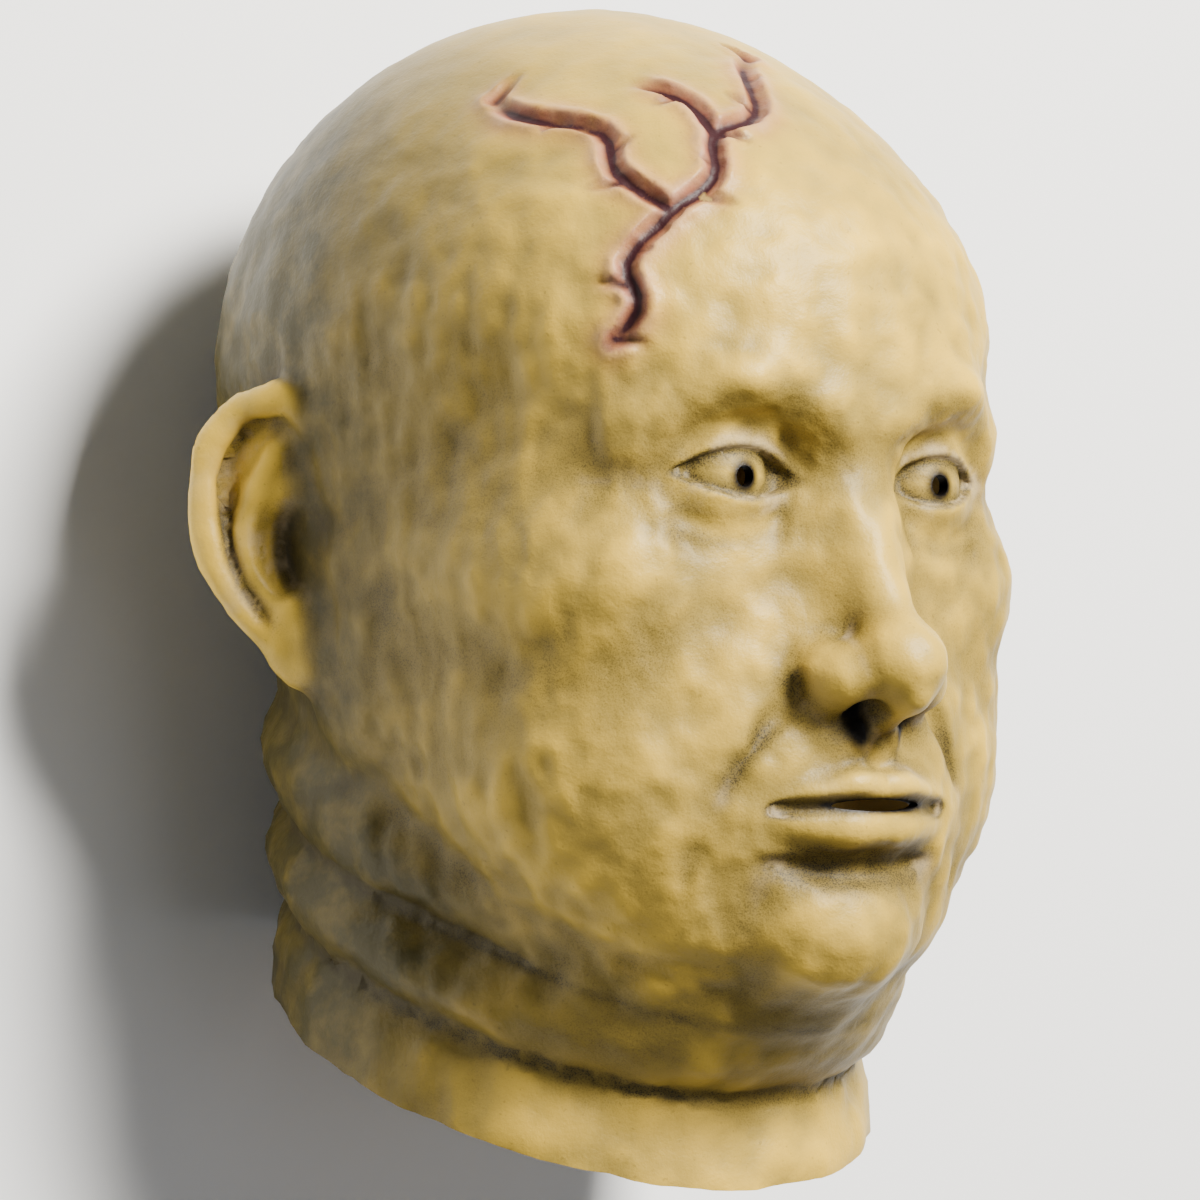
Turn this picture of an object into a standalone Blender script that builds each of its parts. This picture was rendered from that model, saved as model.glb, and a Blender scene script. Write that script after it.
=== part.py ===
"""A full-head latex mask, cast in one piece and hollow, lying on its back with the face up.

The head is carved upright: X to its left, -Y out of the face, +Z to the crown, with the eye line
at Z = 0. The carving is drawn in millimetres on a head 275 mm high, and every drawn length scales
with HEAD_HEIGHT. A field says how far a point lies outside the skin, rough balls of clay are
remeshed into one body, and its vertices are moved onto the skin where the field is zero.
"""

import math

import bmesh
import bpy
import numpy as np
from mathutils import Euler, Matrix, Vector
from mathutils.bvhtree import BVHTree

# Driving dimensions, in metres
HEAD_HEIGHT = 0.275
WALL = 0.003
PUPIL_HOLE = 0.0056
NOSTRIL_HOLE = 0.0046
MOUTH_SLIT_LENGTH = 0.030
MOUTH_SLIT_HEIGHT = 0.0032

# How finely the solid is faceted
CLAY_VOXELS = (4.0, 3.2)
SKIN_VOXEL = 3.0
INSIDE_VOXEL = 5.0
SKIN_TRIANGLES = 7900
INSIDE_TRIANGLES = 2100

LATEX_COLOUR = (0.43, 0.35, 0.14, 1.0)
LATEX_ROUGHNESS = 0.45

# The drawing: millimetres on a head of this height
DRAWN_HEAD = 275.0
DRAWN = HEAD_HEIGHT / DRAWN_HEAD

# The neck is cut off along the plane through these two points, (y, z)
RIM_FRONT = (-62.0, -190.0)
RIM_BACK = (112.0, -118.0)
# The back lies on the plane through these two points, (y, z), which presses them flat
REST_NAPE = (106.2, -118.0)
REST_SKULL = (130.5, 45.0)
# The origin is this far along the back, from the nape's point towards the crown
REST_MIDDLE = 73.5

EYE = (34.0, -79.5, 0.0)
EYEBALL = 15.0
LID = 2.4
EYE_HALF_WIDTH = 17.5
LID_RISE = 7.6
LID_DROP = 5.4
EYE_SLANT = 3.0

EAR = (88.0, 28.0, -13.0)
EAR_FLARE = 34.0
EAR_LEAN = 9.0
EAR_SIZE = 1.03

# The scar on the scalp: each line's points lie near the skin, and are moved onto it
SCAR_LINES = (
    ((-66, -70, 28), (-58, -80, 42), (-61, -79, 55), (-50, -84, 70)),
    ((-50, -84, 70), (-60, -72, 84), (-58, -62, 98), (-72, -38, 107), (-69, -18, 119)),
    ((-50, -84, 70), (-36, -84, 79), (-30, -78, 93), (-13, -75, 100), (-3, -58, 115), (11, -46, 123)),
    ((-30, -78, 93), (-31, -66, 104), (-40, -52, 112)),
)
SCAR_DEPTH = 3.2
SCAR_WIDTH = 2.6


def length(vectors):
    """The length of each row."""
    return np.sqrt((vectors * vectors).sum(axis=-1))


def turned(points, degrees):
    """The points as seen from axes that are turned by these angles."""
    return points @ np.array(Euler([math.radians(a) for a in degrees]).to_matrix())


def ellipsoid(points, centre, radii, turn=(0, 0, 0)):
    """How far each point lies outside an ellipsoid, near its surface."""
    local = turned(points - np.array(centre, float), turn)
    radii = np.array(radii, float)
    share = length(local / radii)
    return share * (share - 1) / np.maximum(length(local / radii**2), 1e-9)


def rod(points, start, end, start_radius, end_radius):
    """How far each point lies outside a tapered rod with round ends."""
    start, along = np.array(start, float), np.subtract(end, start).astype(float)
    share = np.clip((points - start) @ along / (along @ along), 0, 1)
    radius = start_radius + (end_radius - start_radius) * share
    return length(points - start - share[:, None] * along) - radius


def join(first, second, blend):
    """Two forms as one, with a fillet about as wide as blend."""
    near = np.maximum(blend - np.abs(first - second), 0) / blend
    return np.minimum(first, second) - near * near * blend / 4


def carve(form, tool, blend):
    """The form without the tool, with a rounded edge about as wide as blend."""
    return -join(-form, tool, blend)


def smooth_line(points, steps=4):
    """A smooth curve through the points, as short straight steps. Each column is carried along."""
    given = np.array(points, float)
    padded = np.vstack([2 * given[0] - given[1], given, 2 * given[-1] - given[-2]])
    line = []
    for before, start, end, after in zip(padded, padded[1:], padded[2:], padded[3:]):
        for t in np.arange(steps) / steps:
            bend = 2 * before - 5 * start + 4 * end - after
            twist = 3 * start - before - 3 * end + after
            line.append(start + 0.5 * ((end - before) * t + bend * t**2 + twist * t**3))
    return np.array([*line, given[-1]])


def along_line(points, line_points, steps=4, reach=14.0):
    """Each point's distance to a smooth line, the share of the line passed there, and the radius
    in the line's fourth column. Points beyond reach of the line count as far off."""
    line = smooth_line(line_points, steps)
    places = line[:, :3]
    low, high = places.min(axis=0) - reach, places.max(axis=0) + reach
    near = ((points > low) & (points < high)).all(axis=1)
    distance, share, radius = np.full(len(points), 1e3), np.zeros(len(points)), np.zeros(len(points))
    close = points[near]
    best, passed, wide = distance[near], share[near], radius[near]
    for step in range(len(line) - 1):
        start, along = places[step], places[step + 1] - places[step]
        t = np.clip((close - start) @ along / max(along @ along, 1e-9), 0, 1)
        gap = length(close - start - t[:, None] * along)
        closer = gap < best
        best[closer] = gap[closer]
        passed[closer] = (step + t[closer]) / (len(line) - 1)
        wide[closer] = line[step, -1] + (line[step + 1, -1] - line[step, -1]) * t[closer]
    distance[near], share[near], radius[near] = best, passed, wide
    return distance, share, radius


def tube(points, line_points, steps=4):
    """How far each point lies outside a tube along a line whose points end in their radius."""
    distance, _, radius = along_line(points, line_points, steps)
    return distance - radius


def stroke(points, line_points, width, fade_in=True):
    """A soft line, 1 in its middle, that fades across its width and towards its ends. One that
    starts on the head's middle doesn't fade in."""
    distance, share, _ = along_line(points, line_points)
    rest = np.minimum(share, 1 - share) if fade_in else 1 - share
    fade = np.clip(rest * 5, 0, 1)
    return np.exp(-((distance / width) ** 2)) * fade * fade * (3 - 2 * fade)


def dab(points, centre, radii):
    """A soft spot, 1 at its centre, that fades over its radii."""
    return np.exp(-(((points - np.array(centre)) / np.array(radii)) ** 2).sum(axis=-1))


def over_plane(points, low, high):
    """Height over the plane through two (y, z) points, on the side left of low to high."""
    rise = math.atan2(high[1] - low[1], high[0] - low[0])
    return (points[:, 2] - low[1]) * math.cos(rise) - (points[:, 1] - low[0]) * math.sin(rise)


def skull(head):
    """The cranium with the forehead and the sides of the head."""
    form = ellipsoid(head, (0, 20, 38), (96, 114, 99.5))
    form = join(form, ellipsoid(head, (0, -42, 36), (74, 59, 56)), 34)
    return join(form, ellipsoid(head, (0, 22, -28), (88, 86, 66)), 30)


def face_mass(head):
    """The mass of the face: cheekbones, jaw and cheeks."""
    form = ellipsoid(head, (0, -34, -40), (74, 64, 92))
    form = join(form, ellipsoid(head, (56, -44, -26), (30, 42, 24)), 26)
    form = join(form, rod(head, (66, 6, -62), (30, -66, -112), 22, 20), 34)
    return join(form, ellipsoid(head, (44, -48, -74), (36, 36, 36)), 26)


def neck(head):
    """A thick neck that ends in a flared collar, with a roll and jowls over it and folds between."""
    up = over_plane(head, RIM_FRONT, RIM_BACK)
    across, deep = 80.0, 79.0
    form = (np.hypot(head[:, 0] / across, (head[:, 1] - 24) / deep) - 1) * deep
    collar = 4.5 * np.exp(-(((up - 4) / 15.0) ** 2))
    roll = 6.0 * np.exp(-(((up - 35) / 9.0) ** 2))
    jowl = 7.0 * np.exp(-(((up - 61) / 12.0) ** 2))
    folds = 4.5 * (np.exp(-np.abs(up - 23) / 2.6) + np.exp(-np.abs(up - 47.5) / 2.6))
    form = carve(form - collar - roll - jowl + folds, 95 - up, 30)
    return join(form, ellipsoid(head, (0, -34, -132), (58, 50, 30)), 20)


def big_forms(head):
    """The whole head without its features."""
    return join(join(skull(head), face_mass(head), 26), neck(head), 7)


def brow(head, form):
    """The brow ridges and the eye sockets under them."""
    form = join(form, rod(head, (8, -96, 17), (34, -91.5, 21), 8.5, 8.5), 12)
    form = join(form, rod(head, (34, -91.5, 21), (56, -76, 14), 8.5, 8.0), 12)
    return carve(form, ellipsoid(head, (37, -106, 1), (23, 17, 14.5)), 14)


def nose(head, form):
    """The nose: its base, bridge, tip, wings, the web between the nostrils, and the nostrils."""
    form = join(form, ellipsoid(head, (0, -82, -56), (34, 21, 24)), 16)
    form = join(form, ellipsoid(head, (0, -90, -30), (17, 17, 34)), 10)
    form = join(form, rod(head, (0, -92, 4), (0, -113, -44), 7.0, 8.5), 8)
    form = join(form, ellipsoid(head, (0, -117, -49), (12.5, 12, 11.5)), 7)
    form = join(form, ellipsoid(head, (14, -105, -52.5), (8.6, 13, 9.2), (0, 0, -12)), 5.5)
    form = join(form, rod(head, (0, -122, -57), (0, -104, -63), 4.2, 5), 4)
    return carve(form, ellipsoid(head, (8, -110.5, -62), (3.9, 7, 5.2), (0, 0, -18)), 2.5)


def mouth(head, form):
    """The mouth: the mass behind it, both lips, the line between them and the groove above."""
    upper = (
        (0, -107.5, -81.5, 4.2),
        (6, -108, -80.5, 4.6),
        (14, -105.5, -81.8, 4.2),
        (24, -99, -84.3, 3.1),
        (32, -91, -86.5, 1.2),
    )
    lower = ((0, -105.5, -91, 5.6), (10, -104.5, -91, 5.4), (21, -99, -89.8, 4.1), (32, -90.5, -87, 1.2))
    between = ((0, -113, -85.6), (5, -113, -85.3), (10, -111, -85.2), (18, -107, -86), (26, -100, -86.4), (33, -92, -87))
    form = join(form, ellipsoid(head, (0, -80, -84), (38, 27, 27)), 16)
    form = join(form, tube(head, upper), 3.5)
    form = join(form, tube(head, lower), 4)
    form = form + 3.2 * stroke(head, between, 2.0, fade_in=False)
    form = form + 1.3 * stroke(head, ((0, -106, -62), (0, -109, -70), (0, -112, -77)), 3.0)
    return form - 0.9 * stroke(head, ((5.4, -106, -63), (5.8, -109, -70), (6.2, -111, -76)), 2.6)


def chin(head, form):
    """The chin and the hollow over it."""
    form = join(form, ellipsoid(head, (0, -86, -119), (26, 21, 18)), 15)
    hollow = ((0, -101, -102.5), (10, -99, -102), (20, -94, -100), (30, -88, -96))
    return form + 2.6 * stroke(head, hollow, 5.0, fade_in=False)


def eyes(head, form):
    """The eyeball, the lids round the opening between two arcs, and the folds over and under."""
    centre = np.array(EYE)
    ball = length(head - centre) - EYEBALL
    form = join(form, ball - LID, 6)
    local = turned(head - centre, (0, -EYE_SLANT, 0))
    upper_radius = (EYE_HALF_WIDTH**2 + LID_RISE**2) / (2 * LID_RISE)
    lower_radius = (EYE_HALF_WIDTH**2 + LID_DROP**2) / (2 * LID_DROP)
    under_upper = np.hypot(local[:, 0], local[:, 2] - LID_RISE + upper_radius) - upper_radius
    over_lower = np.hypot(local[:, 0], local[:, 2] + LID_DROP - lower_radius) - lower_radius
    opening = np.maximum(np.maximum(under_upper, over_lower), local[:, 1])
    form = join(carve(form, opening, 2.0), ball, 1.4)
    crease = ((18, -92, 6), (24, -98, 11.5), (34, -99.5, 13.5), (44, -95, 11.5), (53, -86, 4))
    pouch = ((19, -92, -7), (26, -96, -12), (35, -96.5, -14.5), (45, -92, -13), (53, -86, -8))
    return form + 2.0 * stroke(head, crease, 1.9) + 0.9 * stroke(head, pouch, 2.4)


def flesh(head, form):
    """The folds beside the mouth, the temples' hollows and two faint lines on the forehead."""
    beside_mouth = ((19, -103, -50), (24, -100, -58), (31, -96, -68), (37, -91, -79), (40, -86, -90))
    low_line = ((0, -101, 46), (24, -98, 49), (46, -86, 46))
    high_line = ((0, -98, 62), (24, -94, 64), (44, -83, 61))
    form = form + 2.2 * stroke(head, beside_mouth, 3.4)
    form = form - 1.6 * dab(head, (38, -92, -62), (11, 12, 16))
    form = form + 2.5 * dab(head, (80, -52, 22), (16, 24, 20))
    form = form + 1.1 * stroke(head, low_line, 2.4, fade_in=False)
    return form + 0.9 * stroke(head, high_line, 2.4, fade_in=False)


def ear_axes():
    """The ear's own directions: backwards along it, up it, and out of its front."""
    flare, lean = math.radians(EAR_FLARE), math.radians(EAR_LEAN)
    level = np.array([math.sin(flare), math.cos(flare), 0.0])
    out = np.array([math.cos(flare), -math.sin(flare), 0.0])
    upright = np.array([0.0, 0.0, 1.0])
    back = level * math.cos(lean) - upright * math.sin(lean)
    up = upright * math.cos(lean) + level * math.sin(lean)
    return back, up, out


def ear(head):
    """An ear: plate, rim, lobe, root, inner ridge, bowl, and the two bumps at its mouth."""
    local = (head - np.array(EAR)) @ np.stack(ear_axes(), axis=1) / EAR_SIZE
    root_of_rim = ((-3, -2, 1, 2.2), (-10, 4, 4, 3.0), (-15, 14, 6, 3.8))
    rim = (
        *root_of_rim,
        (-13, 27, 7.5, 4.2),
        (-4, 35.5, 8.5, 4.4),
        (8, 36, 9.5, 4.4),
        (18, 28, 10.5, 4.2),
        (23, 14, 11.5, 4.0),
        (22.5, -2, 11.5, 3.8),
        (18, -16, 9.5, 3.5),
        (12, -26, 7, 3.2),
        (6, -32, 5.5, 3.2),
    )
    ridge = ((5, -20, 6, 3.2), (12, -9, 8.5, 3.4), (13, 4, 9, 3.6), (9, 14, 8, 3.6), (1, 23, 6.5, 3), (-5, 28, 5, 2))
    form = ellipsoid(local, (4, 1, 5), (19, 34, 4.2))
    form = join(form, tube(local, rim, 3), 2.5)
    form = join(form, ellipsoid(local, (1, -30, 5), (12, 11, 5.4)), 4)
    form = join(form, ellipsoid(local, (-3, -2, -6), (13, 27, 10)), 6)
    form = join(form, tube(local, ridge, 3), 3)
    form = join(form, tube(local, ((9, 13, 7.5, 3), (1, 14, 6, 2.6), (-8, 14, 4, 2)), 3), 3)
    form = carve(form, ellipsoid(local, (-1.5, -4, 9), (10.5, 12.5, 10.5)), 4)
    form = join(form, tube(local, root_of_rim, 3), 2)
    form = join(form, ellipsoid(local, (3, -19, 6), (5, 4, 4)), 3)
    return join(form, ellipsoid(local, (-12, -9, 6.5), (4.6, 7, 5.5)), 3) * EAR_SIZE


def slope(field, points, step=0.3):
    """The field's value and its gradient at each point."""
    corners = np.array([[1, -1, -1], [-1, -1, 1], [-1, 1, -1], [1, 1, 1]], float)
    values = [field(points + step * corner) for corner in corners]
    gradient = sum(v[:, None] * corner for v, corner in zip(values, corners)) / (4 * step)
    return sum(values) / 4, gradient


def laid_on(field, points):
    """The points moved onto the surface where the field is zero."""
    points = np.array(points, float)
    for _ in range(8):
        value, gradient = slope(field, points)
        points = points - (value / (gradient**2).sum(axis=1))[:, None] * gradient
    return points


SCAR = tuple(laid_on(lambda p: big_forms(np.abs(p) * (1, 0, 0) + p * (0, 1, 1)), line) for line in SCAR_LINES)


def without_ears(points):
    """How far each point lies outside the skin, the ears left off. Both halves mirror, apart
    from the scar, and the back is pressed flat where it lies."""
    head = points.copy()
    head[:, 0] = np.abs(head[:, 0])
    form = big_forms(head)
    front = head[:, 1] < 20
    face, shape = head[front], form[front]
    for feature in (brow, nose, mouth, chin, eyes, flesh):
        shape = feature(face, shape)
    for line in SCAR:
        shape = shape + SCAR_DEPTH * stroke(points[front], line, SCAR_WIDTH)
    form[front] = shape
    return carve(form, over_plane(points, REST_NAPE, REST_SKULL), 3)


def skin(points):
    """How far each point lies outside the finished skin, ears and all."""
    form = without_ears(points)
    head = points.copy()
    head[:, 0] = np.abs(head[:, 0])
    beside = (head[:, 0] > 55) & (np.abs(head[:, 1] - 32) < 60) & (np.abs(head[:, 2] + 13) < 70)
    form[beside] = join(form[beside], ear(head[beside]), 5)
    return form


def inside(points):
    """How far each point lies outside the hollow, one wall under the skin."""
    return without_ears(points) + WALL / DRAWN


def add_ball(clay, centre, radii):
    """Adds a ball of clay, stretched to its three radii."""
    place = Matrix.Translation(centre) @ Matrix.Diagonal((*radii, 1))
    bmesh.ops.create_icosphere(clay, subdivisions=4, radius=1.0, matrix=place)


def add_ear_clay(clay, side):
    """Adds a fat lobe of clay that holds the whole ear."""
    back, up, out = ear_axes()
    centre = np.array(EAR) + 6 * back + up + 6 * out
    columns = [out * 14, back * 27, up * 43, centre]
    place = Matrix.Identity(4)
    for column, vector in enumerate(columns):
        size = EAR_SIZE if column < 3 else 1.0
        place.col[column] = Vector((side * vector[0] * size, *(vector[1:] * size), place.col[column][3]))
    bmesh.ops.create_icosphere(clay, subdivisions=4, radius=1.0, matrix=place)


def clay_head(with_ears):
    """The head roughed out in balls of clay that lie over each other."""
    clay = bmesh.new()
    add_ball(clay, (0, 20, 38), (96, 114, 99.5))
    add_ball(clay, (0, -40, 20), (78, 60, 76))
    add_ball(clay, (0, -28, -50), (84, 74, 86))
    add_ball(clay, (0, 22, -28), (88, 86, 66))
    add_ball(clay, (0, 25, -150), (82, 82, 110))
    add_ball(clay, (0, -104, -46), (15, 24, 18))
    add_ball(clay, (0, -84, -120), (27, 19, 17.5))
    if with_ears:
        for side in (1, -1):
            add_ear_clay(clay, side)
    bmesh.ops.recalc_face_normals(clay, faces=clay.faces)
    mesh = bpy.data.meshes.new("clay")
    clay.to_mesh(mesh)
    clay.free()
    return mesh


def modified(mesh, kind, **settings):
    """The mesh after one modifier."""
    helper = bpy.data.objects.new("helper", mesh)
    bpy.context.scene.collection.objects.link(helper)
    modifier = helper.modifiers.new(kind.title(), kind)
    for name, value in settings.items():
        setattr(modifier, name, value)
    graph = bpy.context.evaluated_depsgraph_get()
    result = bpy.data.meshes.new_from_object(helper.evaluated_get(graph))
    bpy.data.objects.remove(helper)
    bpy.data.meshes.remove(mesh)
    return result


def relaxed(points, edges, normals):
    """Each point slid half way to the middle of its neighbours, along the surface."""
    total, count = np.zeros_like(points), np.zeros(len(points))
    for near, far in (edges.T, edges.T[::-1]):
        np.add.at(total, near, points[far])
        np.add.at(count, near, 1)
    move = total / count[:, None] - points
    return points + 0.5 * (move - (move * normals).sum(axis=1)[:, None] * normals)


def moved_onto(mesh, field, rounds, reach):
    """Moves the mesh's vertices onto the surface where the field is zero, at most reach a round,
    and evens them out on the way."""
    points = np.empty(len(mesh.vertices) * 3)
    mesh.vertices.foreach_get("co", points)
    points = points.reshape(-1, 3)
    edges = np.empty(len(mesh.edges) * 2, int)
    mesh.edges.foreach_get("vertices", edges)
    edges = edges.reshape(-1, 2)
    for turn in range(rounds):
        value, gradient = slope(field, points)
        steepness = np.maximum(length(gradient), 0.3)
        normals = gradient / steepness[:, None]
        points = points - np.clip(value / steepness, -reach, reach)[:, None] * normals
        if turn < rounds - 2:
            points = relaxed(points, edges, normals)
    mesh.vertices.foreach_set("co", points.ravel())
    mesh.update()


def carved(field, voxel, triangles, with_ears):
    """A closed body that follows the field, carved from clay and thinned to about so many triangles."""
    mesh = clay_head(with_ears)
    for size, rounds, reach in zip((*CLAY_VOXELS, voxel), (8, 5, 8), (6.0, 2.0, 1.5)):
        mesh = modified(mesh, "REMESH", mode="VOXEL", voxel_size=size)
        moved_onto(mesh, field, rounds, reach)
    mesh.calc_loop_triangles()
    share = triangles / len(mesh.loop_triangles)
    return modified(mesh, "DECIMATE", ratio=share, use_collapse_triangulate=True)


def cut_at_rim(mesh):
    """The body as a bmesh, open where the neck is cut off, and its edges there."""
    body = bmesh.new()
    body.from_mesh(mesh)
    bpy.data.meshes.remove(mesh)
    rise = Vector((0, RIM_BACK[0] - RIM_FRONT[0], RIM_BACK[1] - RIM_FRONT[1]))
    cut = bmesh.ops.bisect_plane(
        body,
        geom=[*body.verts, *body.edges, *body.faces],
        dist=0.01,
        plane_co=(0, *RIM_FRONT),
        plane_no=(0, -rise.z, rise.y),
        clear_inner=True,
    )
    return body, [item for item in cut["geom_cut"] if isinstance(item, bmesh.types.BMEdge)]


def thickened(inner, outer):
    """Moves the hollow's vertices inwards wherever the wall would be thinner than WALL."""
    tree = BVHTree.FromBMesh(outer)
    wall = WALL / DRAWN
    for _ in range(3):
        for vertex in inner.verts:
            nearest, _, _, distance = tree.find_nearest(vertex.co)
            if distance < wall and not vertex.is_boundary:
                vertex.co += (vertex.co - nearest) * (wall / max(distance, 1e-6) - 1)


def lying():
    """Takes the upright drawing in millimetres to the mask on its back, in metres. The crown
    points along +Y and the face looks up."""
    back = Vector((REST_SKULL[0] - REST_NAPE[0], REST_SKULL[1] - REST_NAPE[1])).normalized()
    turn = Matrix(((1, 0, 0), (0, back.x, back.y), (0, -back.y, back.x))).to_4x4()
    to_nape = Matrix.Translation((0, -REST_NAPE[0], -REST_NAPE[1]))
    return Matrix.Scale(DRAWN, 4) @ Matrix.Translation((0, -REST_MIDDLE, 0)) @ turn @ to_nape


def shell_mesh():
    """The mask without its holes: outside, hollow inside, and the flat ring that joins them at
    the neck."""
    outer, _ = cut_at_rim(carved(skin, SKIN_VOXEL, SKIN_TRIANGLES, with_ears=True))
    inner, _ = cut_at_rim(carved(inside, INSIDE_VOXEL, INSIDE_TRIANGLES, with_ears=False))
    thickened(inner, outer)
    bmesh.ops.reverse_faces(inner, faces=inner.faces)
    lining = bpy.data.meshes.new("lining")
    inner.to_mesh(lining)
    inner.free()
    outer.from_mesh(lining)
    bpy.data.meshes.remove(lining)
    open_edges = [edge for edge in outer.edges if edge.is_boundary]
    bmesh.ops.triangle_fill(outer, edges=open_edges, use_beauty=True)
    bmesh.ops.recalc_face_normals(outer, faces=outer.faces)
    bmesh.ops.transform(outer, matrix=lying(), verts=outer.verts)
    for vertex in outer.verts:
        if vertex.co.z < 0.0003:
            vertex.co.z = 0.0
    mesh = bpy.data.meshes.new("latex_mask")
    outer.to_mesh(mesh)
    outer.free()
    mesh.shade_smooth()
    mesh.set_sharp_from_angle(angle=math.radians(50))
    return mesh


def hole(name, start, end, width, height, sides):
    """An oval cutter from one drawn point to another, with this width and height in metres and
    so many sides."""
    cutter = bmesh.new()
    bmesh.ops.create_cone(cutter, cap_ends=True, segments=sides, radius1=0.5, radius2=0.5, depth=1)
    along = Vector(end) - Vector(start)
    turn = along.to_track_quat("Z", "X").to_matrix().to_4x4()
    size = Matrix.Diagonal((height / DRAWN, width / DRAWN, along.length, 1))
    place = lying() @ Matrix.Translation((Vector(start) + Vector(end)) / 2) @ turn @ size
    bmesh.ops.transform(cutter, matrix=place, verts=cutter.verts)
    mesh = bpy.data.meshes.new(name)
    cutter.to_mesh(mesh)
    cutter.free()
    item = bpy.data.objects.new(name, mesh)
    bpy.context.scene.collection.objects.link(item)
    item.display_type = "WIRE"
    item.hide_render = True
    return item


def cut(mask, cutter):
    """Cuts the cutter out of the mask."""
    modifier = mask.modifiers.new(cutter.name, "BOOLEAN")
    modifier.operation = "DIFFERENCE"
    modifier.solver = "EXACT"
    modifier.object = cutter


def latex():
    """The mask's material."""
    material = bpy.data.materials.new("latex")
    material.use_nodes = True
    shader = material.node_tree.nodes["Principled BSDF"]
    shader.inputs["Base Color"].default_value = LATEX_COLOUR
    shader.inputs["Roughness"].default_value = LATEX_ROUGHNESS
    return material


def main():
    """Builds the mask, lays it on its back, and cuts the holes in its pupils, nostrils and mouth."""
    for item in list(bpy.data.objects):
        bpy.data.objects.remove(item)
    mesh = shell_mesh()
    mesh.materials.append(latex())
    mask = bpy.data.objects.new("latex_mask", mesh)
    bpy.context.scene.collection.objects.link(mask)
    for name, side in (("left", 1), ("right", -1)):
        eye_x = side * EYE[0]
        ahead, behind = (eye_x, -110, EYE[2]), (eye_x, -72, EYE[2])
        cut(mask, hole(f"{name}_pupil", ahead, behind, PUPIL_HOLE, PUPIL_HOLE, 20))
        below, above = (side * 8.2, -112.5, -72), (side * 9.4, -101, -46)
        cut(mask, hole(f"{name}_nostril", below, above, NOSTRIL_HOLE, NOSTRIL_HOLE, 12))
    slit = hole("mouth_slit", (0, -125, -85.6), (0, -84, -85.6), MOUTH_SLIT_LENGTH, MOUTH_SLIT_HEIGHT, 16)
    cut(mask, slit)


main()
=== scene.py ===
"""A full-head latex mask that lies on its back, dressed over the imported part.

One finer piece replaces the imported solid. Both are carved to the same drawing: an upright head
275 mm from crown to chin, with +X to its left, -Y out of the face, +Z to the crown, and the eye
line at Z = 0. A field says how far a point lies outside the skin. Balls of clay are remeshed into
one body, and its vertices are moved onto the surface where the field is zero.
"""

import logging
import math
from collections.abc import Callable
from dataclasses import dataclass, field
from enum import Enum

import bmesh
import bpy
import numpy as np
import numpy.typing as npt
from mathutils import Euler, Matrix, Vector, noise


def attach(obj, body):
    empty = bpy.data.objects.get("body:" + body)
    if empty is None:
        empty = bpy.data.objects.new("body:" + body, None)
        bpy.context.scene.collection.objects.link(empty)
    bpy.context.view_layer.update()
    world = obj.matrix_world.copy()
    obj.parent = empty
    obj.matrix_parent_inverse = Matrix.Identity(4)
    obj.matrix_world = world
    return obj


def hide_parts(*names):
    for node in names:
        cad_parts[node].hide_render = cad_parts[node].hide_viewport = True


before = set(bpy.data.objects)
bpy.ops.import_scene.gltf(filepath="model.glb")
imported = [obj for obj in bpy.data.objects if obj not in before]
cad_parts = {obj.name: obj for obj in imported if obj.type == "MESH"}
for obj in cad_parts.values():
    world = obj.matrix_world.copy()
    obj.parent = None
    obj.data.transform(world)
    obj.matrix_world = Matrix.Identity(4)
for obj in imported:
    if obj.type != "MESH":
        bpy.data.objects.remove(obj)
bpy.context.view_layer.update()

Array = npt.NDArray[np.float64]
Triple = tuple[float, float, float]
Line = tuple[tuple[float, ...], ...]
Colour = tuple[float, float, float]
Measure = Callable[[Array], Array]

log = logging.getLogger("latex_mask")

PIECE_NAME = "latex_skin"
NODE = "latex_mask"
MILLIMETRE = 0.001


def length(vectors: Array) -> Array:
    """Gives the length of each row."""
    return np.sqrt((vectors * vectors).sum(axis=-1))


def turned(points: Array, degrees: Triple) -> Array:
    """Gives the points as seen from axes that are turned by these angles."""
    return points @ np.array(Euler([math.radians(angle) for angle in degrees]).to_matrix())


def mirrored(points: Array) -> Array:
    """Gives the points with those of the right half moved to the left half."""
    head = points.copy()
    head[:, 0] = np.abs(head[:, 0])
    return head


def join(first: Array, second: Array, blend: float) -> Array:
    """Joins two forms with a fillet.

    Args:
        first: How far each point lies outside the first form.
        second: How far each point lies outside the second form.
        blend: About how wide the fillet is.

    Returns:
        How far each point lies outside both.
    """
    near = np.maximum(blend - np.abs(first - second), 0) / blend
    return np.minimum(first, second) - near * near * blend / 4


def carve(form: Array, tool: Array, blend: float) -> Array:
    """Cuts a tool out of a form and rounds the edge.

    Args:
        form: How far each point lies outside the form.
        tool: How far each point lies outside the tool.
        blend: About how wide the rounded edge is.

    Returns:
        How far each point lies outside what is left.
    """
    return -join(-form, tool, blend)


def over_plane(points: Array, low: tuple[float, float], high: tuple[float, float]) -> Array:
    """Gives the height over a plane, on the side left of the way from low to high.

    Args:
        points: The points.
        low: A (y, z) point of the plane.
        high: Another (y, z) point of it.

    Returns:
        Each point's height.
    """
    rise = math.atan2(high[1] - low[1], high[0] - low[0])
    return (points[:, 2] - low[1]) * math.cos(rise) - (points[:, 1] - low[0]) * math.sin(rise)


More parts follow.
